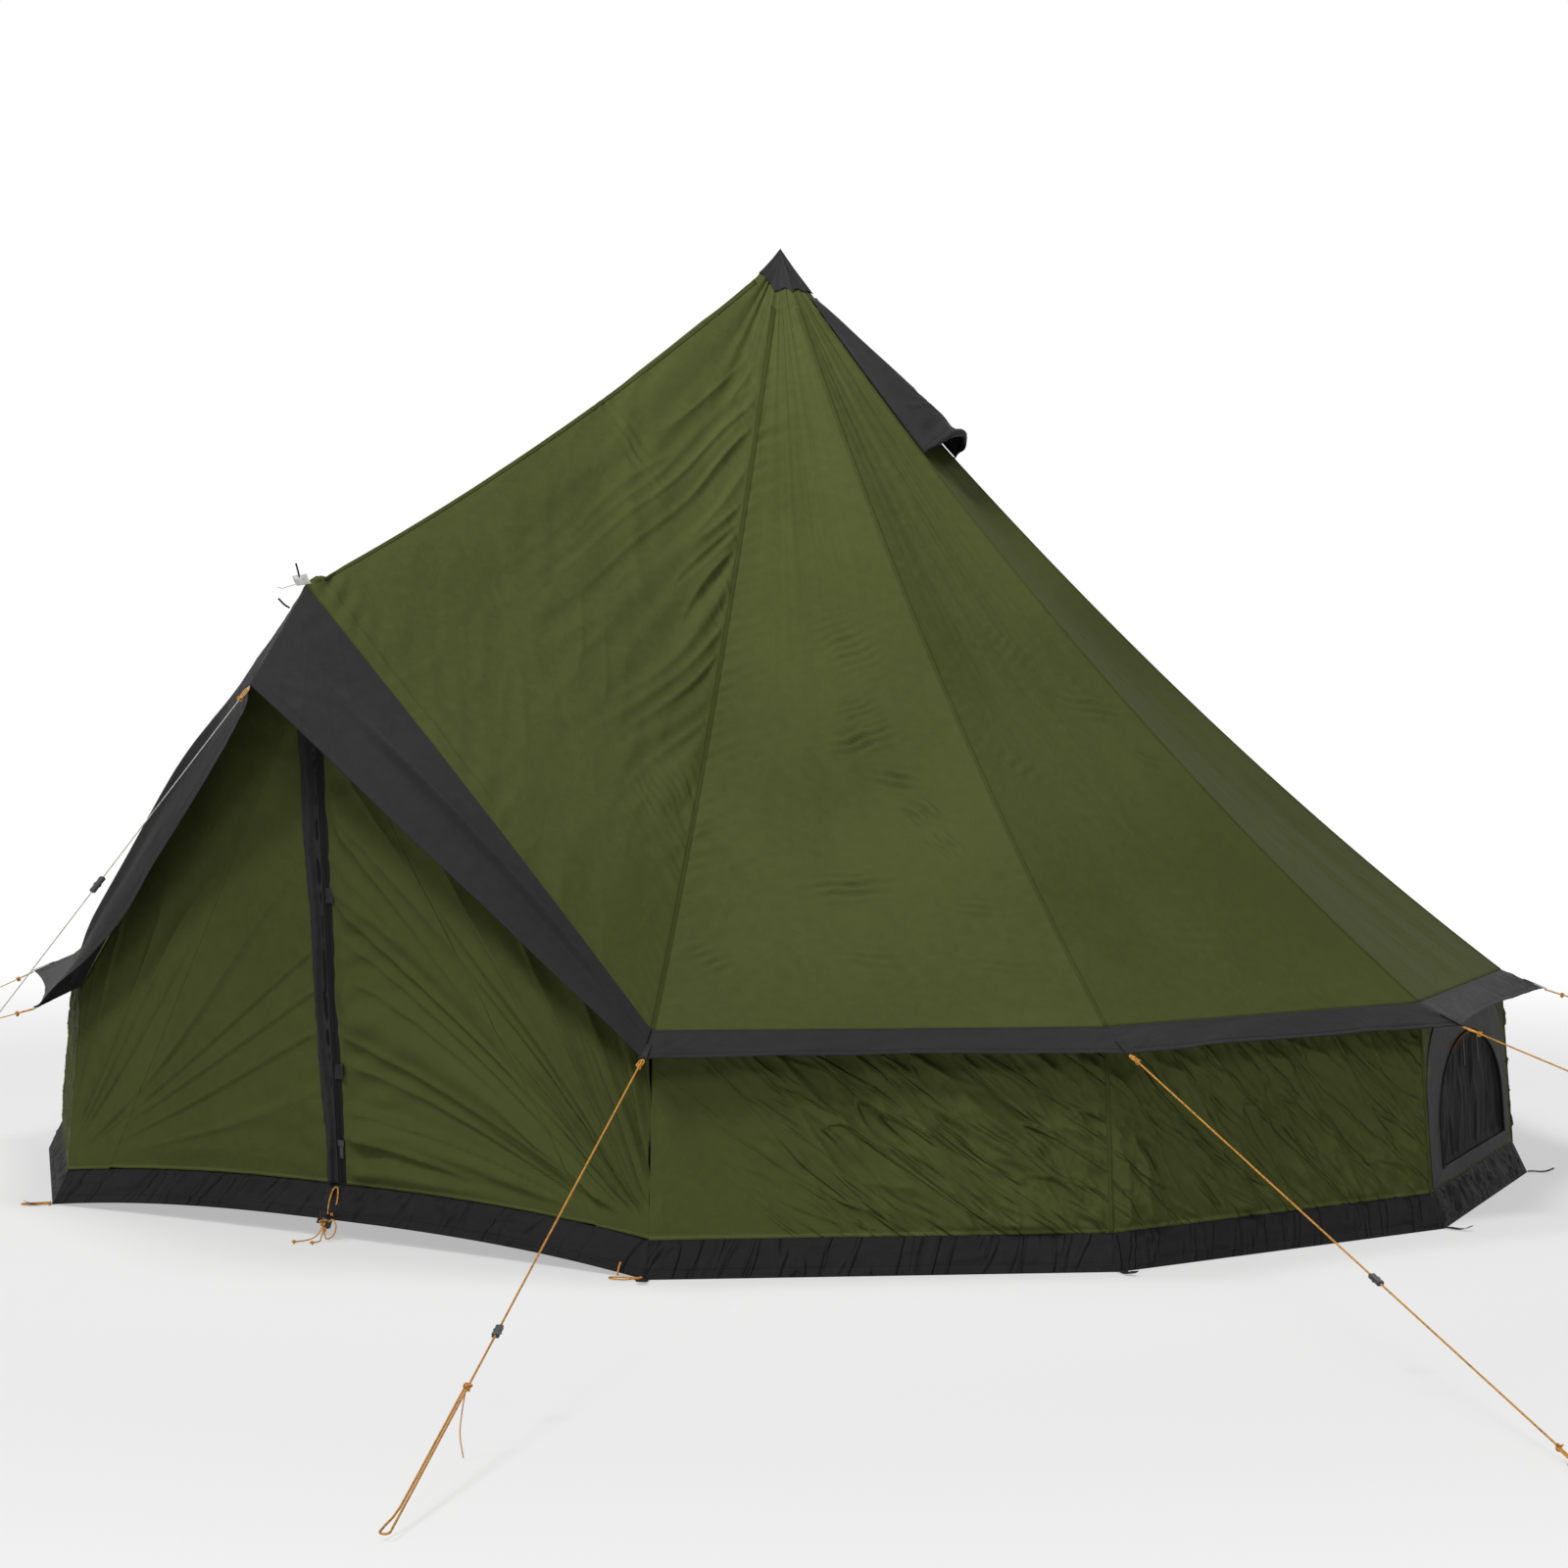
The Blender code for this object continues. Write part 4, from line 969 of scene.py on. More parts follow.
def visor_relief(sign):
    """Long fold down the visor's middle, pulled creases at its bend; the left half hangs slack."""
    seed = 131 if sign > 0 else 137

    def relief(points, s, t):
        u, v = s * SEAM_LENGTH, t * 0.28 * (1.0 - 0.55 * s)
        held = step(t, 0.0, 0.12) * plateau(s, 0.0, 0.04, 0.96, 1.0)
        line = 0.46 - 0.06 * s + 0.03 * np.sin(s * 7.0)
        value = 0.0230 * bell(t, line, 0.075) * plateau(s, 0.10, 0.40, 0.80, 1.0)
        value += 0.0120 * np.sin(pi * np.clip(t, 0.0, 1.0)) * sin_arch(s)
        value += 0.0040 * noise(u * 2.6, v * 9.0, seed)
        fold = (1.0 - step(s, 0.10, 0.38)) * step(s, 0.0, 0.05)
        value += 0.0030 * spread(u, v, (-0.06, 0.30), 2.5, 0.80, seed + 1) * fold
        value += 0.0016 * spread(u, v, (-0.04, -0.06), 2.5, 0.60, seed + 2, 3.0) * fold
        value += 0.0012 * ridges(u, v, radians(-8.0), 0.060, 0.60, seed + 4)
        value += 0.0010 * noise(u / 0.026, t * 2.0, seed + 3) * (bell(t, 0.95, 0.05) + bell(t, 0.05, 0.04))
        value -= 0.0012 * bell(t, 0.925, 0.012)
        if sign < 0:
            belly = np.clip(4.0 * s * (1.0 - s), 0.0, 1.0) ** 0.45 * (1.0 - 0.8 * step(s, 0.80, 0.97))
            value += belly * (0.016 * np.sin(pi * np.clip(t, 0.0, 1.0)) - 0.042 * t**2)
            value -= 0.016 * bell(s, 0.66, 0.12) * t**2
        return value * held

    return relief


def sin_arch(s):
    """Full in the upper middle and nothing at both ends."""
    return np.sin(pi * np.clip(s, 0.0, 1.0) ** 0.8)


def wall_relief(side):
    """Creases of a low wall, pulled aslant between the eave and the tray."""
    seed = 200 + side * 13
    lean = radians(-38.0) if side == 0 else radians(-46.0)

    def relief(points, s, t):
        u, v = s * WALL_WIDTH, t * WALL_HEIGHT
        held = plateau(s, 0.0, 0.03, 0.97, 1.0) * plateau(t, 0.0, 0.05, 0.96, 1.0)
        crowd = 0.12 + 0.88 * step(u + 0.35 * v, 0.20, 0.62) if side == 0 else 0.70 + 0.30 * np.exp(-u / 0.3)
        value = 0.0150 * soft_folds(u, v, lean, 0.075, 0.50, seed) * crowd
        value += 0.0150 * ridges(u, v, lean - 0.05, 0.070, 0.60, seed + 1, 2.2) * crowd
        value += 0.0115 * ridges(u, v, lean + 0.20, 0.060, 0.44, seed + 2, 2.2) * crowd
        value += 0.0090 * ridges(u, v, lean - 0.30, 0.055, 0.34, seed + 3, 2.2) * crowd
        value += 0.0045 * ridges(u, v, lean + 0.05, 0.034, 0.20, seed + 8) * crowd
        pull = step(u, 0.40, 0.85) if side == 0 else step(u, 0.55, 0.95)
        value += 0.0060 * spread(u, v, (1.03, -0.02), 3.0, 0.50, seed + 4) * pull
        crumple = np.exp(-((WALL_WIDTH - u) / 0.14)) + np.exp(-(u / (0.04 if side == 0 else 0.16)))
        value += 0.0045 * ridges(u, v, radians(-76.0), 0.040, 0.16, seed + 5) * crumple
        value += 0.0030 * ridges(u, v, radians(-110.0), 0.036, 0.10, seed + 9) * crumple
        value += 0.0014 * noise(u / 0.018, v / 0.026, seed + 6) * crumple
        value += 0.0010 * noise(u / 0.050, v / 0.050, seed + 7)
        value -= 0.0060 * crowd
        return value * held * (0.35 if side == SIDE_COUNT - 1 else 1.0)

    return relief


def door_relief(points, s, t):
    """Folds of the door cloth, spread from its lower corners; leaf and side cloth share them."""
    x, z = points[..., 0], points[..., 2]
    away, right = np.abs(x), x > 0.0
    up = z - 0.08
    held = step(away, 0.012, 0.075) * step(up - 0.050, 0.0, 0.05)
    # Distance inside the door corner and, above the eave, inside the visor's seam
    edge = 0.947 - away - np.maximum(0.0, z - 0.55) * 0.93
    held = held * step(edge, 0.0, 0.06)
    # Distance of the leaf's fold line from the zip: the cloth is held calmer beside it
    fold = 0.790 * (1.0 - (z - 0.082) / 1.278)
    held = held * (0.35 + 0.65 * step(np.abs(away - fold), 0.0, 0.06))
    pull = (0.975, -0.03)
    value_r = 0.0330 * spread(away, up + 0.14 * (1.0 - away) ** 2, pull, 4.6, 1.8, 301)
    value_r += 0.0130 * spread(away, up + 0.14 * (1.0 - away) ** 2, pull, 7.0, 1.2, 303, 2.2)
    value_r += 0.0050 * ridges(away, up, radians(112.0), 0.065, 0.40, 305) * step(away, 0.50, 0.80)
    zip_pull = np.exp(-away / 0.15)
    wave = np.sin(z / 0.090 * 2.0 * pi - away * 24.0 + 1.8 * noise(z * 4.0, away * 3.0, 307))
    value_r += 0.0085 * zip_pull * wave * (0.4 + 0.6 * step(noise(z * 2.3, away, 309), -0.2, 0.4))
    low_part = 1.0 - step(z, 0.55, 1.05)
    value_l = 0.0075 * spread(away, up, (0.99, -0.02), 2.5, 1.5, 311)
    value_l += 0.0090 * spread(away, up, (0.965, 0.00), 4.0, 1.8, 313, 6.0) * step(up, 0.02, 0.2) * low_part
    value_l += 0.0060 * soft_folds(away, up, radians(88.0), 0.16, 0.8, 315) * step(z, 0.5, 0.9)
    value_l += 0.0018 * zip_pull * wave
    value = np.where(right, value_r, value_l)
    value += 0.0008 * noise(x / 0.05, z / 0.06, 317)
    return value * held


def tray_relief(points, s, t):
    """Crumple of the tray's band, with its lower seam."""
    place = s * (SIDE_COUNT + 1)
    u = place * 1.06
    corner = np.abs((place + 0.5) % 1.0 - 0.5)
    door = step(place, SIDE_COUNT, SIDE_COUNT + 0.02)
    value = 0.0040 * soft_folds(u, t * 0.09, radians(12.0), 0.034, 0.22, 401)
    value += 0.0034 * ridges(u, t * 0.09, radians(-18.0), 0.036, 0.16, 403)
    value += (0.0026 + 0.0050 * door) * ridges(u, t * 0.09, radians(68.0), 0.060, 0.10, 407)
    value += 0.0060 * ridges(u, t * 0.09, radians(40.0), 0.055, 0.14, 409) * bell(place, 2.25, 0.28)
    value += 0.0010 * noise(u / 0.022, t * 4.0, 405)
    value -= 0.0020 * bell(t, 0.26, 0.03) * (1.0 - door)
    return value * plateau(t, 0.04, 0.2, 0.86, 0.98) * step(corner, 0.0, 0.03)


def hood_relief(points, s, t):
    """Slack of the hood's cloth, gathered above its rim."""
    u, v = s * 0.26, t * 0.55
    value = 0.0040 * noise(u * 14.0, v * 5.0, 421)
    value += 0.0050 * ridges(u, v, radians(55.0), 0.050, 0.12, 423) * step(t, 0.45, 0.9)
    value -= 0.0060 * bell(t, 0.93, 0.035)
    return value * plateau(s, 0.02, 0.15, 0.85, 0.98) * step(t, 0.0, 0.1)


def cap_relief(points, s, t):
    """Small creases that run down from the cap's tip."""
    return 0.0016 * noise(s * 34.0, t * 1.5, 431) * step(t, 0.12, 0.5)


def net_relief(points, s, t):
    """Upright folds of the window net."""
    u, v = s * 0.78, t * 0.30
    value = 0.0050 * soft_folds(u, v, radians(84.0), 0.060, 0.35, 441)
    value += 0.0030 * ridges(u, v, radians(78.0), 0.07, 0.3, 443)
    return (value - 0.006) * plateau(s, 0.0, 0.06, 0.94, 1.0) * plateau(t, 0.0, 0.1, 0.9, 1.0)


def surround_relief(points, s, t):
    """Slack of the cloth round the window, with a stitched line beside the net."""
    value = 0.0016 * noise(points[..., 0] * 14.0 + points[..., 1] * 9.0, points[..., 2] * 12.0, 451)
    value -= 0.0008 * bell(t, 0.14, 0.03)
    return value * plateau(t, 0.0, 0.1, 0.9, 1.0)


# Small pieces


def cord_curve(name, points, radius, closed=False, resolution=2):
    """Round cord on a poly line, as a curve that is not yet in the scene."""
    curve = bpy.data.curves.new(name, "CURVE")
    curve.dimensions = "3D"
    curve.bevel_depth = radius
    curve.bevel_resolution = resolution
    curve.use_fill_caps = True
    spline = curve.splines.new("POLY")
    spline.points.add(len(points) - 1)
    for target, point in zip(spline.points, points):
        target.co = (*point, 1.0)
    spline.use_cyclic_u = closed
    return curve


def tube(name, points, radius, look, body, nodes=()):
    """Round cord on one open poly line, with closed ends."""
    return add_piece(name, cord_curve(name, points, radius, resolution=3), look, body, nodes)


def level_across(along):
    """Level direction across a line."""
    return along.cross(Vector((0.0, 0.0, 1.0))).normalized()


def smooth_route(marks, steps=6):
    """Smooth line through a few marks."""
    marks = [Vector(mark) for mark in marks]
    padded = [marks[0] * 2.0 - marks[1], *marks, marks[-1] * 2.0 - marks[-2]]
    route = []
    for before, start, end, after in zip(padded, padded[1:], padded[2:], padded[3:]):
        for index in range(steps):
            share = index / steps
            route.append(
                0.5
                * (
                    2.0 * start
                    + (end - before) * share
                    + (2.0 * before - 5.0 * start + 4.0 * end - after) * share**2
                    + (3.0 * start - before - 3.0 * end + after) * share**3
                )
            )
    route.append(marks[-1])
    return route


def knot(name, place, direction, size, radius, look, body):
    """Small overhand knot: a three-lobed loop of cord, turned to lie round its line."""
    turn = Vector(direction).to_track_quat("Z", "Y").to_matrix()
    marks = []
    for index in range(36):
        a = 2.0 * pi * index / 36
        lobe = Vector(
            (sin(a) + 2.0 * sin(2.0 * a), cos(a) - 2.0 * cos(2.0 * a), -1.6 * sin(3.0 * a))
        ) * (size / 6.0)
        marks.append(Vector(place) + turn @ lobe)
    return closed_loop(name, marks, radius, look, body)


def curve_mesh(name, curve):
    """The curve made a mesh."""
    maker = bpy.data.objects.new(name + "_maker", curve)
    mesh = bpy.data.meshes.new_from_object(maker)
    bpy.data.objects.remove(maker)
    mesh.name = name
    mesh.materials.clear()
    return mesh


def closed_loop(name, marks, radius, look, body):
    """Closed loop of cord."""
    return add_piece(name, curve_mesh(name, cord_curve(name, marks, radius, True)), look, body)


def hanging_cord(name, marks, radius, look, knot_end=False):
    """Short free cord through a few marks, with a knot on its end where asked."""
    route = smooth_route(marks, 5)
    line = tube(name, route, radius, look, "tent")
    if knot_end:
        along = route[-1] - route[-2]
        knot(name + "_knot", route[-1], along, 0.009, radius, look, "tent")


def box_piece(name, size, place, look, body):
    """Small moulded block with rounded edges."""
    bm = bmesh.new()
    bmesh.ops.create_cube(bm, size=1.0)
    bmesh.ops.scale(bm, verts=bm.verts, vec=size)
    bmesh.ops.bevel(
        bm, geom=bm.edges[:], offset=min(size) * 0.3, segments=3, profile=0.5,
        affect="EDGES", material=-1,
    )
    bmesh.ops.transform(bm, matrix=place, verts=bm.verts)
    return add_piece(name, finished_mesh(name, bm), look, body)


def strap_cloth(start, along, side, width, length, rise):
    """Flat strap from a point along a direction; rise(t) lifts it."""
    start, along, side = (np.array(value, float) for value in (start, along, side))

    def place(s, t):
        return start + along * (length * t)[..., None] + side * (width * (s - 0.5))[..., None] + rise(t)

    return Cloth(place, inside=start - np.array((0.0, 0.0, 1.0)))


def lifted(values):
    """Upward shift from heights."""
    return vec(0.0, 0.0, values)


# Guy lines


# Corner, reach past the band's tip, shift aside and height of the far end
GUY_RUNS = {
    "guy_line_a": (0, 2.433, 0.038, 0.012),
    "guy_line_b": (1, 2.093, -0.229, 0.012),
    "guy_line_c": (2, 0.311, 0.0, 0.399),
    "guy_line_d": (3, 0.095, 0.0, 0.469),
    "guy_line_y": (9, 0.131, 0.0, 0.437),
    "guy_line_z": (10, 0.122, 0.0, 0.470),
}
# Places of the runners and the lower knots as shares of their line, and the loose end's length
RUNNERS = {"a": 0.654, "b": 0.614, "front": 0.600}
LOW_KNOTS = {"a": 0.758, "b": 0.965}
TAILS = {"a": 0.118}


def guy_ends(tent, name):
    """Start and end of a guy line."""
    if name == "guy_line_front":
        tip = Vector(tent.visor_tip)
        end = Vector((0.0, tip.y - 0.802, 0.592))
    else:
        corner, outwards, sideways, height = GUY_RUNS[name]
        angle = corner_angle(corner)
        tip = Vector(tent.ring(angle, tent.tip_radius, tent.tip_height))
        end = Vector(tent.ring(angle, tent.tip_radius + outwards, height)) + sideways * Vector(around(angle))
    middle = tip - Vector((0.0, 0.0, SOLID_DEPTH / 2.0))
    along = (end - middle).normalized()
    return middle + along * (GAP + SOLID_DEPTH / 2.0 * abs(along.z)), end


def guy_route(start, end, double=None, eye=0.014):
    """Taut line that turns back beside itself, up to a share of its run, or closes in a round eye."""
    along = (end - start).normalized()
    side = level_across(along)
    points = [start.lerp(end, index / 12.0) for index in range(13)]
    if double is not None:
        eye = 0.0085
        last = end - along * eye
        points[-1] = last
        for index in range(1, 7):
            turn = radians(30.0 * index)
            points.append(last + side * (eye * (1.0 - cos(turn))) + along * (eye * sin(turn)))
        low = start.lerp(end, double)
        for share, wide in (
            (0.04, 0.014), (0.09, 0.0085), (0.16, 0.0055), (0.4, 0.005), (0.7, 0.005), (1.0, 0.005)
        ):
            points.append(last.lerp(low, share) + side * wide)
        return points
    centre = end + side * eye
    for index in range(1, 10):
        turn = radians(30.0 * index)
        points.append(centre - side * (eye * cos(turn)) + along * (eye * sin(turn)))
    return points


# Operators


# The photograph's view: where the camera stands, how it is turned, and its lens in pixels of the photograph
CAMERA_PLACE = (5.9903, -8.3426, 1.3940)
CAMERA_TURN = (1.536064, -0.004012, 0.621302)
LENS_PIXELS, PHOTO_PIXELS, SENSOR = 3791.0, 1600.0, 36.0
# Name, strength, width, heading and height in degrees
SUNS = (("key", 1.30, 12.0, -95.0, 50.0), ("fill", 0.62, 14.0, -52.0, 32.0))
LAMP_PLACE, LAMP_AIM = (0.0, -1.7, 4.4), (0.2, -0.5, 1.5)
LAMP_SIZE, LAMP_POWER = 1.4, 58.0
AMBIENT = 0.24
FLOOR_RADIUS = 40.0
FLOOR_FADE = (3.0, 7.0)
SIDES = ((1.0, "right"), (-1.0, "left"))
# Columns and rows of the roof panels that the photograph shows
ROOF_GRIDS = {0: (140, 330), "right": (140, 330), 1: (120, 260), 2: (90, 200), "left": (90, 200)}


class TentStage(Operator):
    """Camera, lights, pale floor and background"""

    bl_idname = "tent.stage"
    bl_label = "Stage"

    def execute(self, context):
        scene = context.scene
        camera = bpy.data.objects.new("camera", bpy.data.cameras.new("camera"))
        camera.data.sensor_width = SENSOR
        camera.data.lens = LENS_PIXELS / PHOTO_PIXELS * SENSOR
        camera.data.clip_end = 200.0
        camera.location = CAMERA_PLACE
        camera.rotation_euler = CAMERA_TURN
        scene.collection.objects.link(camera)
        scene.camera = camera
        self.overhead(scene)
        for name, strength, spread, heading, height in SUNS:
            self.sun(scene, name, strength, spread, radians(heading), radians(height))
        self.floor(scene)
        self.background(scene)
        scene.view_settings.view_transform = "Standard"
        return {"FINISHED"}

    def overhead(self, scene):
        """Large soft lamp over the front of the tent."""
        data = bpy.data.lights.new("overhead", "AREA")
        data.shape = "DISK"
        data.size = LAMP_SIZE
        data.energy = LAMP_POWER
        lamp = bpy.data.objects.new("overhead", data)
        lamp.location = LAMP_PLACE
        lamp.rotation_euler = (Vector(LAMP_PLACE) - Vector(LAMP_AIM)).to_track_quat("Z", "Y").to_euler()
        scene.collection.objects.link(lamp)

    def sun(self, scene, name, strength, spread, heading, height):
        """Sun lamp that shines from a heading and a height."""
        data = bpy.data.lights.new(name, "SUN")
        data.energy = strength
        data.angle = radians(spread)
        lamp = bpy.data.objects.new(name, data)
        toward = Vector((cos(height) * cos(heading), cos(height) * sin(heading), sin(height)))
        lamp.rotation_euler = toward.to_track_quat("Z", "Y").to_euler()
        scene.collection.objects.link(lamp)

    def floor(self, scene):
        """Plain pale floor that fades to white away from the tent."""
        bm = bmesh.new()
        bmesh.ops.create_circle(bm, cap_ends=True, segments=96, radius=FLOOR_RADIUS)
        bmesh.ops.translate(bm, verts=bm.verts, vec=(0.0, 0.0, -0.001))
        mesh = finished_mesh("floor", bm)
        floor = bpy.data.objects.new("floor", mesh)
        scene.collection.objects.link(floor)
        made = Finish("pale_floor", 0.9)
        made.paint(Base_Color=(0.80, 0.80, 0.80, 1.0))
        across, along, _ = made.parts(made.place())
        away = (across * across + along * along) ** 0.5
        share = (0.45 + 0.55 * away.ramp(*FLOOR_FADE)) * made.seen()
        glow = made.node("ShaderNodeEmission", values={"Color": (1.0, 1.0, 1.0, 1.0), "Strength": 1.0})
        both = made.node(
            "ShaderNodeMixShader", values={0: share, 1: Value(made, made.surface.outputs[0]), 2: glow}
        )
        made.feed(made.tree.nodes["Material Output"].inputs["Surface"], both)
        mesh.materials.append(made.material)

    def background(self, scene):
        """White behind the tent, and a level light all round it."""
        world = bpy.data.worlds.new("studio")
        world.use_nodes = True
        scene.world = world
        sky = Shader(world.node_tree)
        light = sky.tree.nodes["Background"].inputs
        sky.feed(light["Color"], (1.0, 1.0, 1.0, 1.0))
        sky.feed(light["Strength"], AMBIENT + (1.0 - AMBIENT) * sky.seen())


class TentGuys(Operator):
    """Guy lines with their loops, knots, tails and sliding runners"""

    bl_idname = "tent.guys"
    bl_label = "Guy lines"

    def execute(self, context):
        tent = Tent(context.scene.tent_sizes)
        cord = finish("cord")
        plastic = finish("plastic")
        for name in [*GUY_RUNS, "guy_line_front"]:
            key = name[9:]
            start, end = guy_ends(tent, name)
            along = (end - start).normalized()
            thin = key in ("front", "y", "z")
            radius = 0.0013 if thin else 0.002
            route = guy_route(start, end, LOW_KNOTS.get(key))
            line = tube(
                "line_" + key, route, radius, finish("pale_cord") if key == "front" else cord, "tent", [name]
            )
            tie = 0.038 if key == "front" else 0.045
            fittings = [
                self.loop(f"loop_{key}", start + along * 0.004, start + along * tie, 0.006, cord),
                knot(f"knot_{key}_top", start + along * (tie + 0.004), along, 0.012, 0.0019, cord, "tent"),
            ]
            if key in RUNNERS:
                turn = (end - start).to_track_quat("Z", "Y").to_matrix().to_4x4()
                place = Matrix.Translation(start.lerp(end, RUNNERS[key])) @ turn
                fittings.append(self.runner(f"slider_{key}", place, plastic, f"runner_{key}"))
            if key in LOW_KNOTS:
                low = start.lerp(end, LOW_KNOTS[key])
                fittings.append(knot(f"knot_{key}_low", low, along, 0.014, 0.0019, cord, "tent"))
                if key in TAILS:
                    self.tail(f"tail_{key}", low, along, TAILS[key], cord)
            2.0 * radius
        return {"FINISHED"}

    def loop(self, name, start, end, half, look):
        """Long narrow loop of cord between a tab and its knot."""
        along = (end - start).normalized()
        side = level_across(along)
        marks = []
        for index in range(24):
            turn = 2.0 * pi * index / 24
            marks.append(start.lerp(end, 0.5 - 0.5 * cos(turn)) + side * (half * sin(turn)))
        return closed_loop(name, marks, 0.0017, look, "tent")

    def tail(self, name, place, along, length, look):
        """Loose end that hangs from a knot."""
        side = level_across(along)
        start = place + side * 0.004 - Vector((0.0, 0.0, 0.006))
        marks = [start, start + side * 0.006 - Vector((0.0, 0.0, 0.30 * length))]
        marks.append(start + side * 0.010 - Vector((0.0, 0.0, 0.65 * length)))
        marks.append(start + side * 0.004 - Vector((0.0, 0.0, length)))
        hanging_cord(name, marks, 0.0011, look)

    def runner(self, name, place, plastic, node):
        """Flat slider with rounded edges and a waist for the fingers."""
        bm = bmesh.new()
        bmesh.ops.create_cube(bm, size=1.0)
        bmesh.ops.scale(bm, verts=bm.verts, vec=(0.014, 0.010, 0.045))
        long_edges = [edge for edge in bm.edges if abs(edge.verts[0].co.z - edge.verts[1].co.z) > 0.01]
        bmesh.ops.subdivide_edges(bm, edges=long_edges, cuts=5)
        for vert in bm.verts:
            waist = max(0.0, 1.0 - abs(vert.co.z) / 0.014)
            vert.co.x *= 1.0 - 0.22 * waist
        sharp = [edge for edge in bm.edges if edge.calc_face_angle(0.0) > 1.0]
        bmesh.ops.bevel(bm, geom=sharp, offset=0.0024, segments=3, profile=0.5, affect="EDGES", material=-1)
        bmesh.ops.transform(bm, matrix=place, verts=bm.verts)
        return add_piece(name, finished_mesh(name, bm), plastic, node, [node])


class TentRoof(Operator):
    """Roof panels, their seams and the cap over the top"""

    bl_idname = "tent.roof"
    bl_label = "Roof"

    def execute(self, context):
        tent = Tent(context.scene.tent_sizes)
        green = finish("green")
        seam = finish("green_seam")
        sheets = {}
        for side in range(SIDE_COUNT):
            sheets[side] = Cloth(lambda s, t, side=side: tent.roof(side, s, t), roof_relief(side))
        for sign, key in SIDES:
            sheets[key] = Cloth(lambda s, t, sign=sign: tent.door_roof(sign, s, t), door_roof_relief(sign))
        for key, sheet in sheets.items():
            grid = ROOF_GRIDS.get(key, (60, 120))
            node = f"roof_panel_{key + 1:02d}" if isinstance(key, int) else f"roof_panel_door_{key}"
            label = f"roof_{key + 1:02d}" if isinstance(key, int) else f"roof_door_{key}"
            add_cloth(label, sheet, grid, green, nodes=[node])
        joins = [("right", 1, 0, 0)] + [(side - 1, 1, side, 0) for side in range(1, SIDE_COUNT)]
        joins += [(SIDE_COUNT - 1, 1, "left", 1), ("left", 0, "right", 0)]
        for index, (left, left_edge, right, right_edge) in enumerate(joins):
            tape = join_tape(
                sheets[left], left_edge, sheets[right], right_edge, 0.0065, panel_width, 0.05, 0.999
            )
            look = finish("green_ridge") if index == 0 else seam
            add_cloth(f"ridge_seam_{index:02d}", tape, (8, 220 if index < 4 else 110), look, thickness=0.0007)
        cap = Cloth(tent.cap, cap_relief, tent.top - np.array((0.0, 0.0, 0.5)))
        add_cloth("top_cap", cap, (192, 28), finish("black"), nodes=["apex_cap"])
        return {"FINISHED"}


class TentBands(Operator):
    """Edge band under the roof, the visor over the door and the vent hood"""

    bl_idname = "tent.bands"
    bl_label = "Bands, visor and hood"

    def execute(self, context):
        tent = Tent(context.scene.tent_sizes)
        black = finish("black")
        hemmed = finish("black_hem")
        shown = (0, 1, 2, SIDE_COUNT - 1)
        for side in range(SIDE_COUNT):
            sheet = Cloth(lambda s, t, side=side: tent.skirt(side, s, t), skirt_relief(501 + side * 5))
            grid = (170, 22) if side in shown else (80, 10)
            node = f"edge_band_{side + 1:02d}" if side in shown else f"roof_panel_{side + 1:02d}"
            add_cloth(f"skirt_{side + 1:02d}", sheet, grid, hemmed, nodes=[node])
        for sign, label in SIDES:
            sheet = Cloth(
                lambda s, t, sign=sign: tent.visor(sign, s, t), visor_relief(sign),
                tent.head - np.array((0.0, 0.0, 1.0)),
            )
            add_cloth(f"visor_cloth_{label}", sheet, (220, 70), black, nodes=[f"visor_{label}"])
        self.hood(tent, black)
        self.tabs(tent)
        return {"FINISHED"}

    def hood(self, tent, black):
        """Hood over the vent, with a rolled rim round its mouth and net behind it."""
        inside = tent.top - np.array((0.0, 0.0, 1.0))
        hood = Cloth(tent.hood, hood_relief, inside)
        add_cloth("hood_cloth", hood, (70, 90), black, nodes=["vent_hood"])
        out = tent.hood_out()

        def rim(s, t):
            edge = hood.points(s, np.full_like(s, 0.995))
            before = hood.points(s, np.full_like(s, 0.95))
            down = edge - before
            down /= np.linalg.norm(down, axis=-1, keepdims=True)
            size = 0.0105 * (0.35 + 0.65 * plateau(s, 0.0, 0.12, 0.88, 1.0))
            size = size * (1.0 + 0.18 * noise(s * 6.0, s * 0.0, 641))
            turn = t * radians(300.0) - radians(100.0)
            ahead, aside = size * (1.0 + np.sin(turn)), size * np.cos(turn)
            return edge + down * ahead[..., None] + out * aside[..., None]

        add_cloth("hood_rim", Cloth(rim, inside=inside), (70, 20), black)

        def net(s, t):
            place = tent.roof_at(WINDOW_SIDE, 0.22 + 0.56 * s, 0.10 + 0.115 * t)
            return place + np.array((0.0, 0.0, 0.006))

        add_cloth("vent_net", Cloth(net, inside=inside), (20, 24), finish("net"))

    def tabs(self, tent):
        """Webbing tabs sewn on the band's corners, where the guy lines tie on."""
        webbing = finish("webbing")
        for index in (0, 1, 2, 3, SIDE_COUNT - 1, SIDE_COUNT):
            angle = corner_angle(index)
            tip = tent.ring(angle, tent.tip_radius, tent.tip_height)
            seam = tent.ring(angle, tent.eave, tent.sizes.eave_height)
            along = (tip - seam) / np.linalg.norm(tip - seam)
            start = tip - along * 0.060
            tab = strap_cloth(
                start, along, around(angle), 0.020, 0.066, lambda t: lifted(0.0022 + 0.0010 * t)
            )
            add_cloth(f"corner_tab_{index:02d}", tab, (6, 12), webbing)


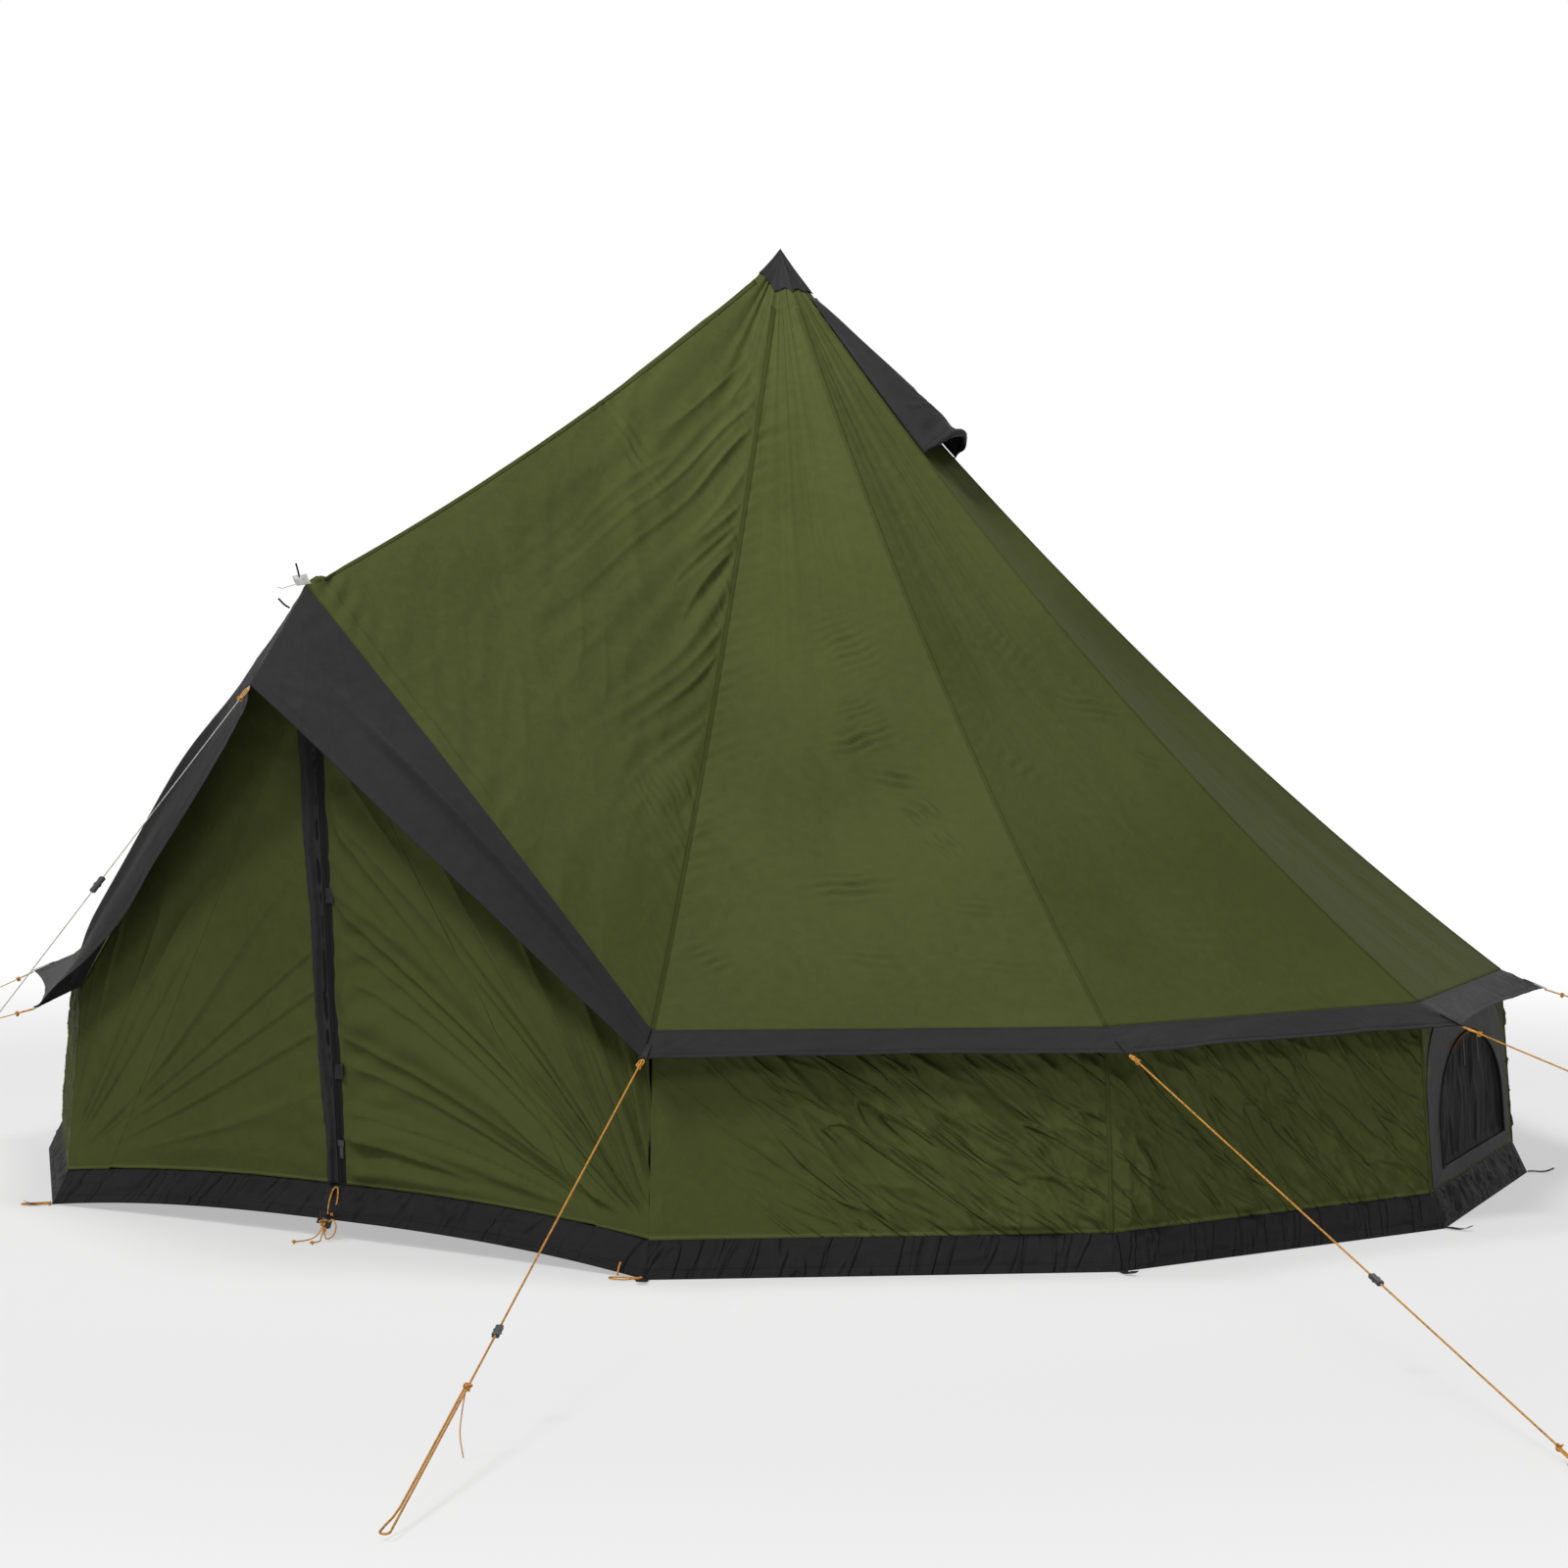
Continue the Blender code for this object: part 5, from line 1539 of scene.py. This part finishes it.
class TentWalls(Operator):
    """Low walls and the tray with its floor"""

    bl_idname = "tent.walls"
    bl_label = "Walls and tray"

    def execute(self, context):
        tent = Tent(context.scene.tent_sizes)
        green = finish("green_wall")
        black = finish("tray")
        sheets = {
            side: Cloth(lambda s, t, side=side: tent.wall(side, s, t), wall_relief(side))
            for side in range(SIDE_COUNT)
        }
        for side, sheet in sheets.items():
            if side != WINDOW_SIDE:
                grid = (230, 96) if side < 2 else (110, 44)
                look = green if side else finish("green_wall_first")
                add_cloth(f"wall_cloth_{side + 1:02d}", sheet, grid, look, nodes=[f"wall_{side + 1:02d}"])
        seam = finish("green_seam")
        for side in range(1, SIDE_COUNT):
            tape = join_tape(sheets[side - 1], 1, sheets[side], 0, 0.006, lambda t: 1.05 + 0.0 * t, 0.0, 0.99)
            add_cloth(f"wall_seam_{side:02d}", tape, (8, 40), seam, thickness=0.0007)
        for label, place in (("eave", tent.eave_tape), ("foot", tent.foot_tape)):
            add_cloth(f"{label}_tape", Cloth(place), (480, 2), seam, thickness=0.0007)
        for sign, label in SIDES:
            tape = Cloth(lambda s, t, sign=sign: tent.visor_tape(sign, s, t))
            add_cloth(f"visor_tape_{label}", tape, (60, 2), seam, thickness=0.0007)
        band = Cloth(tent.tray_band, tray_relief)
        add_cloth("tray_band", band, (990, 26), black, nodes=["groundsheet"])
        floor = Cloth(tent.tray_floor, inside=np.array((0.0, 0.0, -1.0)))
        add_cloth("tray_floor", floor, (132, 40), black, thickness=0.003)
        return {"FINISHED"}


class TentWindow(Operator):
    """Wall with the arched window: cloth, surround, net, binding and ties"""

    bl_idname = "tent.window"
    bl_label = "Window"

    half = 0.39
    middle = 0.02
    low = 0.125
    spring = 0.23
    rise = 0.20

    def top(self, across):
        """Height of the arch over a place across it."""
        share = np.clip(1.0 - ((across - self.middle) / self.half) ** 2, 0.0, 1.0)
        return self.spring + self.rise * np.sqrt(share)

    def outline(self, s, middle, half, low, spring, rise, power):
        """Arch outline from its lower left corner round to it again."""
        s = np.clip(s, 0.0, 1.0)
        turn = np.interp(s, (0.35, 0.5, 0.75, 0.9), (0.0, pi / 3.0, 2.0 * pi / 3.0, pi))
        x = middle + half * np.sign(np.cos(turn)) * np.abs(np.cos(turn)) ** power
        z = spring + rise * np.sin(turn) ** power
        x = np.where(s < 0.25, middle + half * (8.0 * s - 1.0), x)
        z = np.where(s < 0.25, low, np.where(s < 0.35, low + (spring - low) * (s - 0.25) * 10.0, z))
        z = np.where(s > 0.9, spring + (low - spring) * (s - 0.9) * 10.0, z)
        return x, z

    def execute(self, context):
        tent = Tent(context.scene.tent_sizes)
        black = finish("black")
        wall = Cloth(lambda s, t: tent.wall(WINDOW_SIDE, s, t), lambda points, s, t: 0.0 * s)
        look = finish("green_wall")
        add_cloth(
            "wall_cloth_03", wall, (130, 60), look, nodes=["wall_03"], cut=lambda mesh: self.cut(tent, mesh)
        )
        arch = (self.middle, self.half, self.low, self.spring, self.rise, 1.0)
        outer = (-0.009, 0.494, tent.sizes.band_height + 0.006, 0.25, 0.285, 0.72)

        def surround(s, t):
            x0, z0 = self.outline(s, *arch)
            x1, z1 = self.outline(s, *outer)
            return tent.window(x0 + (x1 - x0) * t, z0 + (z1 - z0) * t, 0.0012)

        frame_cloth = Cloth(surround, surround_relief)
        add_cloth("window_frame", frame_cloth, (240, 16), black, nodes=["window_surround"])

        def net(s, t):
            x = self.middle + self.half * (2.0 * s - 1.0)
            return tent.window(x, self.low + (self.top(x) - self.low) * t, -0.0003)

        add_cloth("window_net", Cloth(net, net_relief), (110, 50), finish("net"), nodes=["window_mesh"])
        self.binding(tent, "window_binding", arch, 0.0, 1.0, 0.0030, black)
        self.binding(tent, "window_top_binding", arch, 0.50, 0.75, 0.0038, finish("brown"))
        webbing = finish("webbing")
        for index, across in enumerate((-0.05, 0.12)):
            across = np.float64(across)
            start = tent.window(across, self.top(across) - 0.004, 0.004)
            down = tent.window(across, np.float64(0.1), 0.0) - tent.window(across, np.float64(0.2), 0.0)
            side = around(WINDOW_TURN)
            tie = strap_cloth(
                start, down / np.linalg.norm(down), side, 0.016, 0.075, lambda t: lifted(0.0 * t)
            )
            tie.sign = -tie.sign
            add_cloth(f"window_tie_{index}", tie, (6, 12), webbing)
        return {"FINISHED"}

    def cut(self, tent, mesh):
        """Take the window's opening out of the wall cloth, its edge behind the surround."""
        bm = bmesh.new()
        bm.from_mesh(mesh)
        zero = np.float64(0.0)
        base = Vector(tent.window(zero, zero, zero))
        right = Vector(tent.window(zero + 1.0, zero, zero)) - base
        up = Vector(tent.window(zero, zero + 1.0, zero)) - base
        within = set()
        for vert in bm.verts:
            x, z = (vert.co - base).dot(right), (vert.co - base).dot(up)
            near = abs(x - self.middle) < self.half + 0.003 and z > self.low - 0.003
            if near and z < float(self.top(np.float64(x))) + 0.003:
                within.add(vert)
        gone = [face for face in bm.faces if any(vert in within for vert in face.verts)]
        bmesh.ops.delete(bm, geom=gone, context="FACES")
        bm.to_mesh(mesh)
        bm.free()

    def binding(self, tent, name, arch, first, last, radius, look):
        """Rolled binding along part of the arch, made a mesh tube."""
        s = np.linspace(first, last, int(200 * (last - first)))
        x, z = self.outline(s, *arch)
        marks = [Vector(point) for point in tent.window(x, z, np.full_like(x, 0.003))]
        maker = cord_curve(name, marks, radius, first == 0.0 and last == 1.0)
        add_piece(name, curve_mesh(name, maker), look, "tent")


class TentDoor(Operator):
    """Door leaves, the cloth beside them, the storm flap and the zip"""

    bl_idname = "tent.door"
    bl_label = "Door"

    flap_top = 1.24
    zip_top = 1.325
    slider_height = 0.215
    tab_heights = (0.84, 0.42)

    def execute(self, context):
        tent = Tent(context.scene.tent_sizes)
        green = finish("green_hem")
        black = finish("black")
        inside = np.array((0.0, 0.0, 0.7))
        for sign, label in SIDES:
            leaf = Cloth(lambda s, t, sign=sign: tent.leaf(sign, s, t), door_relief, inside)
            node = f"door_leaf_{label}"
            add_cloth(f"leaf_{label}", leaf, (150, 210), green, node, [node])
            beside = Cloth(lambda s, t, sign=sign: tent.beside(sign, s, t), door_relief, inside)
            add_cloth(f"beside_{label}", beside, (90, 240), green, nodes=[f"door_side_{label}"])
            self.zip_tape(tent, sign, label, inside)

        def flap_place(s, t):
            wave = 0.010 * noise(t * 6.0, s * 0.0, 607) * step(t, 0.0, 0.1)
            x = -GAP - (0.050 + wave) * (1.0 - s) * (0.6 + 0.4 * t)
            foot = tent.sizes.band_height + GAP + tent.sill(x)
            height = foot + (self.flap_top - foot) * t
            return vec(x, tent.door_y(height) - GAP - 0.0025 - 0.004 * (1.0 - s), height)

        def flap_relief(points, s, t):
            free = 1.0 - step(s, 0.7, 1.0)
            fold = 0.42 + 0.30 * noise(t * 4.0, s * 0.0, 605)
            value = 0.0100 * bell(s, fold, 0.20) - 0.0050 * step(s, fold, fold + 0.3)
            value += 0.0030 * noise(t * 8.0, s * 1.5, 601)
            value += 0.0030 * ridges(t * 1.1, s * 0.05, 0.5, 0.035, 0.09, 603)
            return value * (0.3 + 0.7 * free)

        flap = Cloth(flap_place, flap_relief, inside)
        add_cloth("zip_flap", flap, (14, 240), finish("black_hem"), "door_leaf_left", ["storm_flap"])
        self.slider(tent)
        self.tabs(tent)
        return {"FINISHED"}

    def zip_tape(self, tent, sign, label, inside):
        """Tape with the zip's teeth on one leaf's edge."""

        def place(s, t):
            foot = tent.sizes.band_height + GAP + tent.sill(np.zeros_like(s))
            height = foot + 0.002 + (self.zip_top - foot) * t
            width = np.minimum(0.024, tent.fold_x(height) * 0.9)
            x = GAP / 2.0 + width * (s if sign > 0 else 1.0 - s)
            return vec(sign * x, tent.door_y(height) - 0.0010, height)

        tape = Cloth(place, None, inside)
        add_cloth(f"zip_tape_{label}", tape, (6, 200), finish("zip"), f"door_leaf_{label}", thickness=0.0007)

    def slider(self, tent):
        """Zip slider with its pull tab."""
        height = self.slider_height
        lean = Vector((0.0, float(tent.door_y(1.0) - tent.door_y(0.0)), 1.0)).normalized()
        turn = Matrix(
            (Vector((1.0, 0.0, 0.0)), lean.cross(Vector((1.0, 0.0, 0.0))), lean)
        ).transposed().to_4x4()
        place = Matrix.Translation((0.016, float(tent.door_y(height)) - 0.0035, height)) @ turn
        bm = bmesh.new()
        for size, at in (((0.020, 0.0052, 0.016), 0.0145), ((0.012, 0.0026, 0.030), -0.0075)):
            made = bmesh.ops.create_cube(bm, size=1.0)
            bmesh.ops.scale(bm, verts=made["verts"], vec=size)
            bmesh.ops.translate(bm, verts=made["verts"], vec=(0.0, 0.0, at))
        bmesh.ops.bevel(
            bm, geom=bm.edges[:], offset=0.0010, segments=2, profile=0.5, affect="EDGES", material=-1
        )
        bmesh.ops.transform(bm, matrix=place, verts=bm.verts)
        add_piece("zip_slider", finished_mesh("zip_slider", bm), finish("plastic"), "zip_pull", ["zip_pull"])

    def tabs(self, tent):
        """Two small webbing tabs beside the zip, and the strap under its foot."""
        webbing = finish("webbing")
        for index, height in enumerate(self.tab_heights):
            start = np.array((0.024, float(tent.door_y(height)) - 0.0022, height))
            tab = strap_cloth(
                start, (0.0, 0.0, -1.0), (1.0, 0.0, 0.0), 0.026, 0.036, lambda t: vec(0.0, -0.002 * t, 0.0)
            )
            tab.sign = -tab.sign
            add_cloth(f"door_tab_{index}", tab, (6, 8), webbing, "door_leaf_right")
        sill = float(tent.sill(np.float64(0.0)))
        foot = np.array((-0.022, -tent.base * DOOR_CHORD, sill))
        high = np.array((-0.022, -tent.band * DOOR_CHORD, sill + tent.sizes.band_height))
        along = (foot - high) / np.linalg.norm(foot - high)
        strap = strap_cloth(
            high, along, (1.0, 0.0, 0.0), 0.026, 0.100, lambda t: vec(0.0, -0.0030 - 0.003 * t, 0.0)
        )
        strap.sign = -strap.sign
        add_cloth("sill_strap", strap, (6, 16), webbing)


class TentTies(Operator):
    """Peg straps, loops and cord ends at the tray's corners, the door's foot and its head"""

    bl_idname = "tent.ties"
    bl_label = "Straps and loops"

    def execute(self, context):
        tent = Tent(context.scene.tent_sizes)
        webbing = finish("webbing")
        for key, index in (("a", 0), ("b", 1), ("c", 2), ("d", 3), ("z", SIDE_COUNT)):
            angle = corner_angle(index)
            start = tent.ring(angle, tent.base + 2.0 * GAP, 0.0032)
            along = np.array((cos(angle), sin(angle), 0.0))
            strap = strap_cloth(
                start, along, around(angle), 0.022, 0.070,
                lambda t: lifted(0.010 * (1.0 - np.sin(pi * np.clip(t, 0.0, 1.0))) * t),
            )
            add_cloth(f"corner_strap_{key}", strap, (8, 24), webbing, nodes=[f"peg_strap_{key}"])
        self.corner_loops(tent)
        self.sill_loops(tent)
        self.head_ends(tent)
        return {"FINISHED"}

    def corner_loops(self, tent):
        """Cord loops through the straps on both sides of the door."""
        cord = finish("cord")
        y = -tent.base * DOOR_CHORD
        x = tent.door_half
        hanging_cord(
            "corner_loop_a",
            [(x, y - 0.010, 0.006), (x - 0.030, y - 0.016, 0.004), (x - 0.060, y - 0.022, 0.003),
             (x - 0.074, y - 0.034, 0.003), (x - 0.062, y - 0.046, 0.003), (x - 0.030, y - 0.040, 0.003),
             (x + 0.002, y - 0.022, 0.006)], 0.0018, cord, knot_end=True,
        )
        hanging_cord(
            "corner_end_a", [
                (x - 0.066, y - 0.005, 0.034), (x - 0.067, y - 0.011, 0.022), (x - 0.067, y - 0.016, 0.005)
            ],
            0.0022, cord,
        )
        hanging_cord(
            "corner_loop_z",
            [(-x, y - 0.010, 0.006), (-x - 0.024, y - 0.022, 0.004), (-x - 0.048, y - 0.040, 0.003),
             (-x - 0.050, y - 0.058, 0.003), (-x - 0.034, y - 0.060, 0.003), (-x - 0.012, y - 0.042, 0.003),
             (-x + 0.008, y - 0.016, 0.005)], 0.0018, cord, knot_end=True,
        )

    def sill_loops(self, tent):
        """Loop, lock and loose ends under the zip."""
        cord = finish("cord")
        sill = float(tent.sill(np.float64(0.0)))
        y = -tent.base * DOOR_CHORD - 0.008
        high = sill + 0.070
        hanging_cord(
            "sill_loop_high",
            [
                (-0.008, y + 0.008, sill + 0.012), (-0.013, y + 0.018, sill + 0.040),
                (-0.008, y + 0.028, high), (0.004, y + 0.030, high + 0.002),
                (0.010, y + 0.020, sill + 0.040), (0.004, y + 0.010, sill + 0.012),
            ],
            0.0019, cord, knot_end=True,
        )
        place = Matrix.Translation((-0.002, y - 0.004, sill - 0.006)) @ Matrix.Rotation(0.3, 4, "Y")
        box_piece("sill_lock", (0.026, 0.014, 0.024), place, finish("plastic"), "tent")
        knot(
            "sill_lock_wrap", (-0.002, y - 0.013, sill - 0.006), (0.2, -1.0, 0.2), 0.020, 0.0019, cord, "tent"
        )
        hanging_cord(
            "sill_loop_side",
            [
                (0.008, y - 0.008, sill - 0.004), (0.026, y - 0.012, sill + 0.004),
                (0.040, y - 0.016, sill - 0.010), (0.036, y - 0.022, sill - 0.032),
                (0.016, y - 0.024, sill - 0.040), (0.004, y - 0.018, sill - 0.022),
            ],
            0.0019, cord, knot_end=True,
        )
        for index, (end_x, reach) in enumerate(((-0.022, 0.075), (0.012, 0.060))):
            hanging_cord(
                f"sill_end_{index}",
                [(-0.004 + 0.008 * index, y - 0.012, sill - 0.014), (0.5 * end_x, y - 0.030, 0.012),
                 (end_x, y - 0.5 * reach - 0.012, 0.004), (1.3 * end_x, y - reach - 0.012, 0.004)],
                0.0016, cord, knot_end=True,
            )

    def head_ends(self, tent):
        """Pale tab and cord ends at the door head."""
        head = Vector(tent.head)
        left = Vector((-0.813, -0.582, 0.0))
        tab = strap_cloth(
            head + Vector((-0.004, -0.003, 0.004)), (-0.35, -0.25, 0.90), (0.813, 0.582, 0.15), 0.034, 0.026,
            lambda t: vec(0.0, -0.003 * np.sin(pi * np.clip(t, 0.0, 1.0)), 0.0),
        )
        add_cloth("head_tab", tab, (8, 12), finish("pale"))
        hanging_cord(
            "head_cord_pale",
            [
                head + Vector((-0.010, -0.007, 0.008)), head + left * 0.032 + Vector((0.0, 0.0, 0.003)),
                head + left * 0.056 + Vector((0.0, 0.0, -0.004)),
                head + left * 0.068 + Vector((0.0, 0.0, -0.002)),
            ],
            0.0009, finish("pale_cord"),
        )
        high = head + left * 0.016 + Vector((0.0, 0.0, 0.018))
        hanging_cord(
            "head_cord_high", [
                high, high + left * 0.004 + Vector((0.0, 0.0, 0.018)),
                high + left * 0.009 + Vector((0.0, 0.0, 0.036))
            ],
            0.0022, finish("dark_cord"),
        )
        low = head + Vector((-0.050, -0.004, -0.050))
        hanging_cord(
            "head_cord_low", [
                low, low + Vector((-0.010, -0.008, 0.008)), low + Vector((-0.021, -0.016, 0.022))
            ],
            0.0024, finish("dark_cord"),
        )


class TentPoles(Operator):
    """Finishes of the poles, the foot and the elbow"""

    bl_idname = "tent.poles"
    bl_label = "Poles"

    def execute(self, context):
        looks = {
            "pole_lower": "steel", "pole_upper": "steel", "pole_foot": "plastic",
            "door_pole_left": "fibre", "door_pole_right": "fibre", "door_pole_elbow": "plastic",
        }
        for node, look in looks.items():
            bpy.data.objects[node].data.materials[0] = finish(look)
        return {"FINISHED"}


def finish(key):
    """A finish of the tent by its plain name, made once."""
    name = "tent_" + key
    if name in bpy.data.materials:
        return bpy.data.materials[name]
    colours = bpy.context.scene.tent_colours
    green, black = colours.green, colours.black
    makers = {
        "green": lambda: cloth_finish(name, green, 0.46, crumple=0.8),
        "green_hem": lambda: cloth_finish(
            name, shade(green, 0.95), 0.44, crumple=0.9, hem=0.013, rows=(0.011,)
        ),
        "green_wall": lambda: cloth_finish(
            name, green, 0.44, 0.9, 0.013, (0.011,), pull=(radians(-42.0), -2.0)
        ),
        "green_wall_first": lambda: cloth_finish(
            name, green, 0.44, 0.9, 0.013, (0.011,), pull=(radians(-36.0), -0.45)
        ),
        "green_ridge": lambda: cloth_finish(name, shade(green, 0.74), 0.55, columns=(-0.004, 0.004)),
        "green_seam": lambda: cloth_finish(name, shade(green, 0.88), 0.55, columns=(-0.004, 0.004)),
        "black": lambda: cloth_finish(name, shade(black, 1.25), 0.46, crumple=0.8, sheen=0.016),
        "black_hem": lambda: cloth_finish(
            name, shade(black, 1.25), 0.46, crumple=0.8, rows=(0.007, 0.104), sheen=0.016
        ),
        "tray": lambda: cloth_finish(
            name, shade(black, 0.95), 0.5, crumple=1.4, rows=(0.022,), pull=(radians(70.0), -40.0),
            sheen=0.012
        ),
        "brown": lambda: cloth_finish(name, (0.16, 0.07, 0.02), 0.6),
        "pale": lambda: webbing_finish(name, colours.white),
        "net": lambda: net_finish(name, colours.net),
        "webbing": lambda: webbing_finish(name, black),
        "zip": lambda: zip_finish(name, black),
        "cord": lambda: cord_finish(name, colours.ochre),
        "dark_cord": lambda: cord_finish(name, shade(black, 0.6), 2.5),
        "pale_cord": lambda: cord_finish(name, (0.46, 0.45, 0.40), 0.7),
        "plastic": lambda: plastic_finish(name, (0.014, 0.014, 0.015), 0.38),
        "fibre": lambda: plastic_finish(name, (0.09, 0.09, 0.09), 0.35),
        "steel": lambda: steel_finish(name),
    }
    return makers[key]()


class TentPanel(Panel):
    """Buttons and settings for the tent"""

    bl_idname = "VIEW3D_PT_tent"
    bl_label = "Tent"
    bl_space_type = "VIEW_3D"
    bl_region_type = "UI"
    bl_category = "Tent"

    def draw(self, context):
        for group in (context.scene.tent_sizes, context.scene.tent_colours):
            for key in group.__annotations__:
                self.layout.prop(group, key)
        for operator in OPERATORS:
            self.layout.operator(operator.bl_idname)


OPERATORS = (TentStage, TentGuys, TentRoof, TentBands, TentWalls, TentWindow, TentDoor, TentTies, TentPoles)
CLASSES = (TentSizes, TentColours, *OPERATORS, TentPanel)


def register():
    for item in CLASSES:
        bpy.utils.register_class(item)
    bpy.types.Scene.tent_sizes = PointerProperty(type=TentSizes)
    bpy.types.Scene.tent_colours = PointerProperty(type=TentColours)


def unregister():
    del bpy.types.Scene.tent_colours
    del bpy.types.Scene.tent_sizes
    for item in reversed(CLASSES):
        bpy.utils.unregister_class(item)


def main():
    register()
    bpy.ops.tent.stage()
    bpy.ops.tent.guys()
    bpy.ops.tent.roof()
    bpy.ops.tent.bands()
    bpy.ops.tent.walls()
    bpy.ops.tent.window()
    bpy.ops.tent.door()
    bpy.ops.tent.ties()
    bpy.ops.tent.poles()


if __name__ == "__main__":
    main()
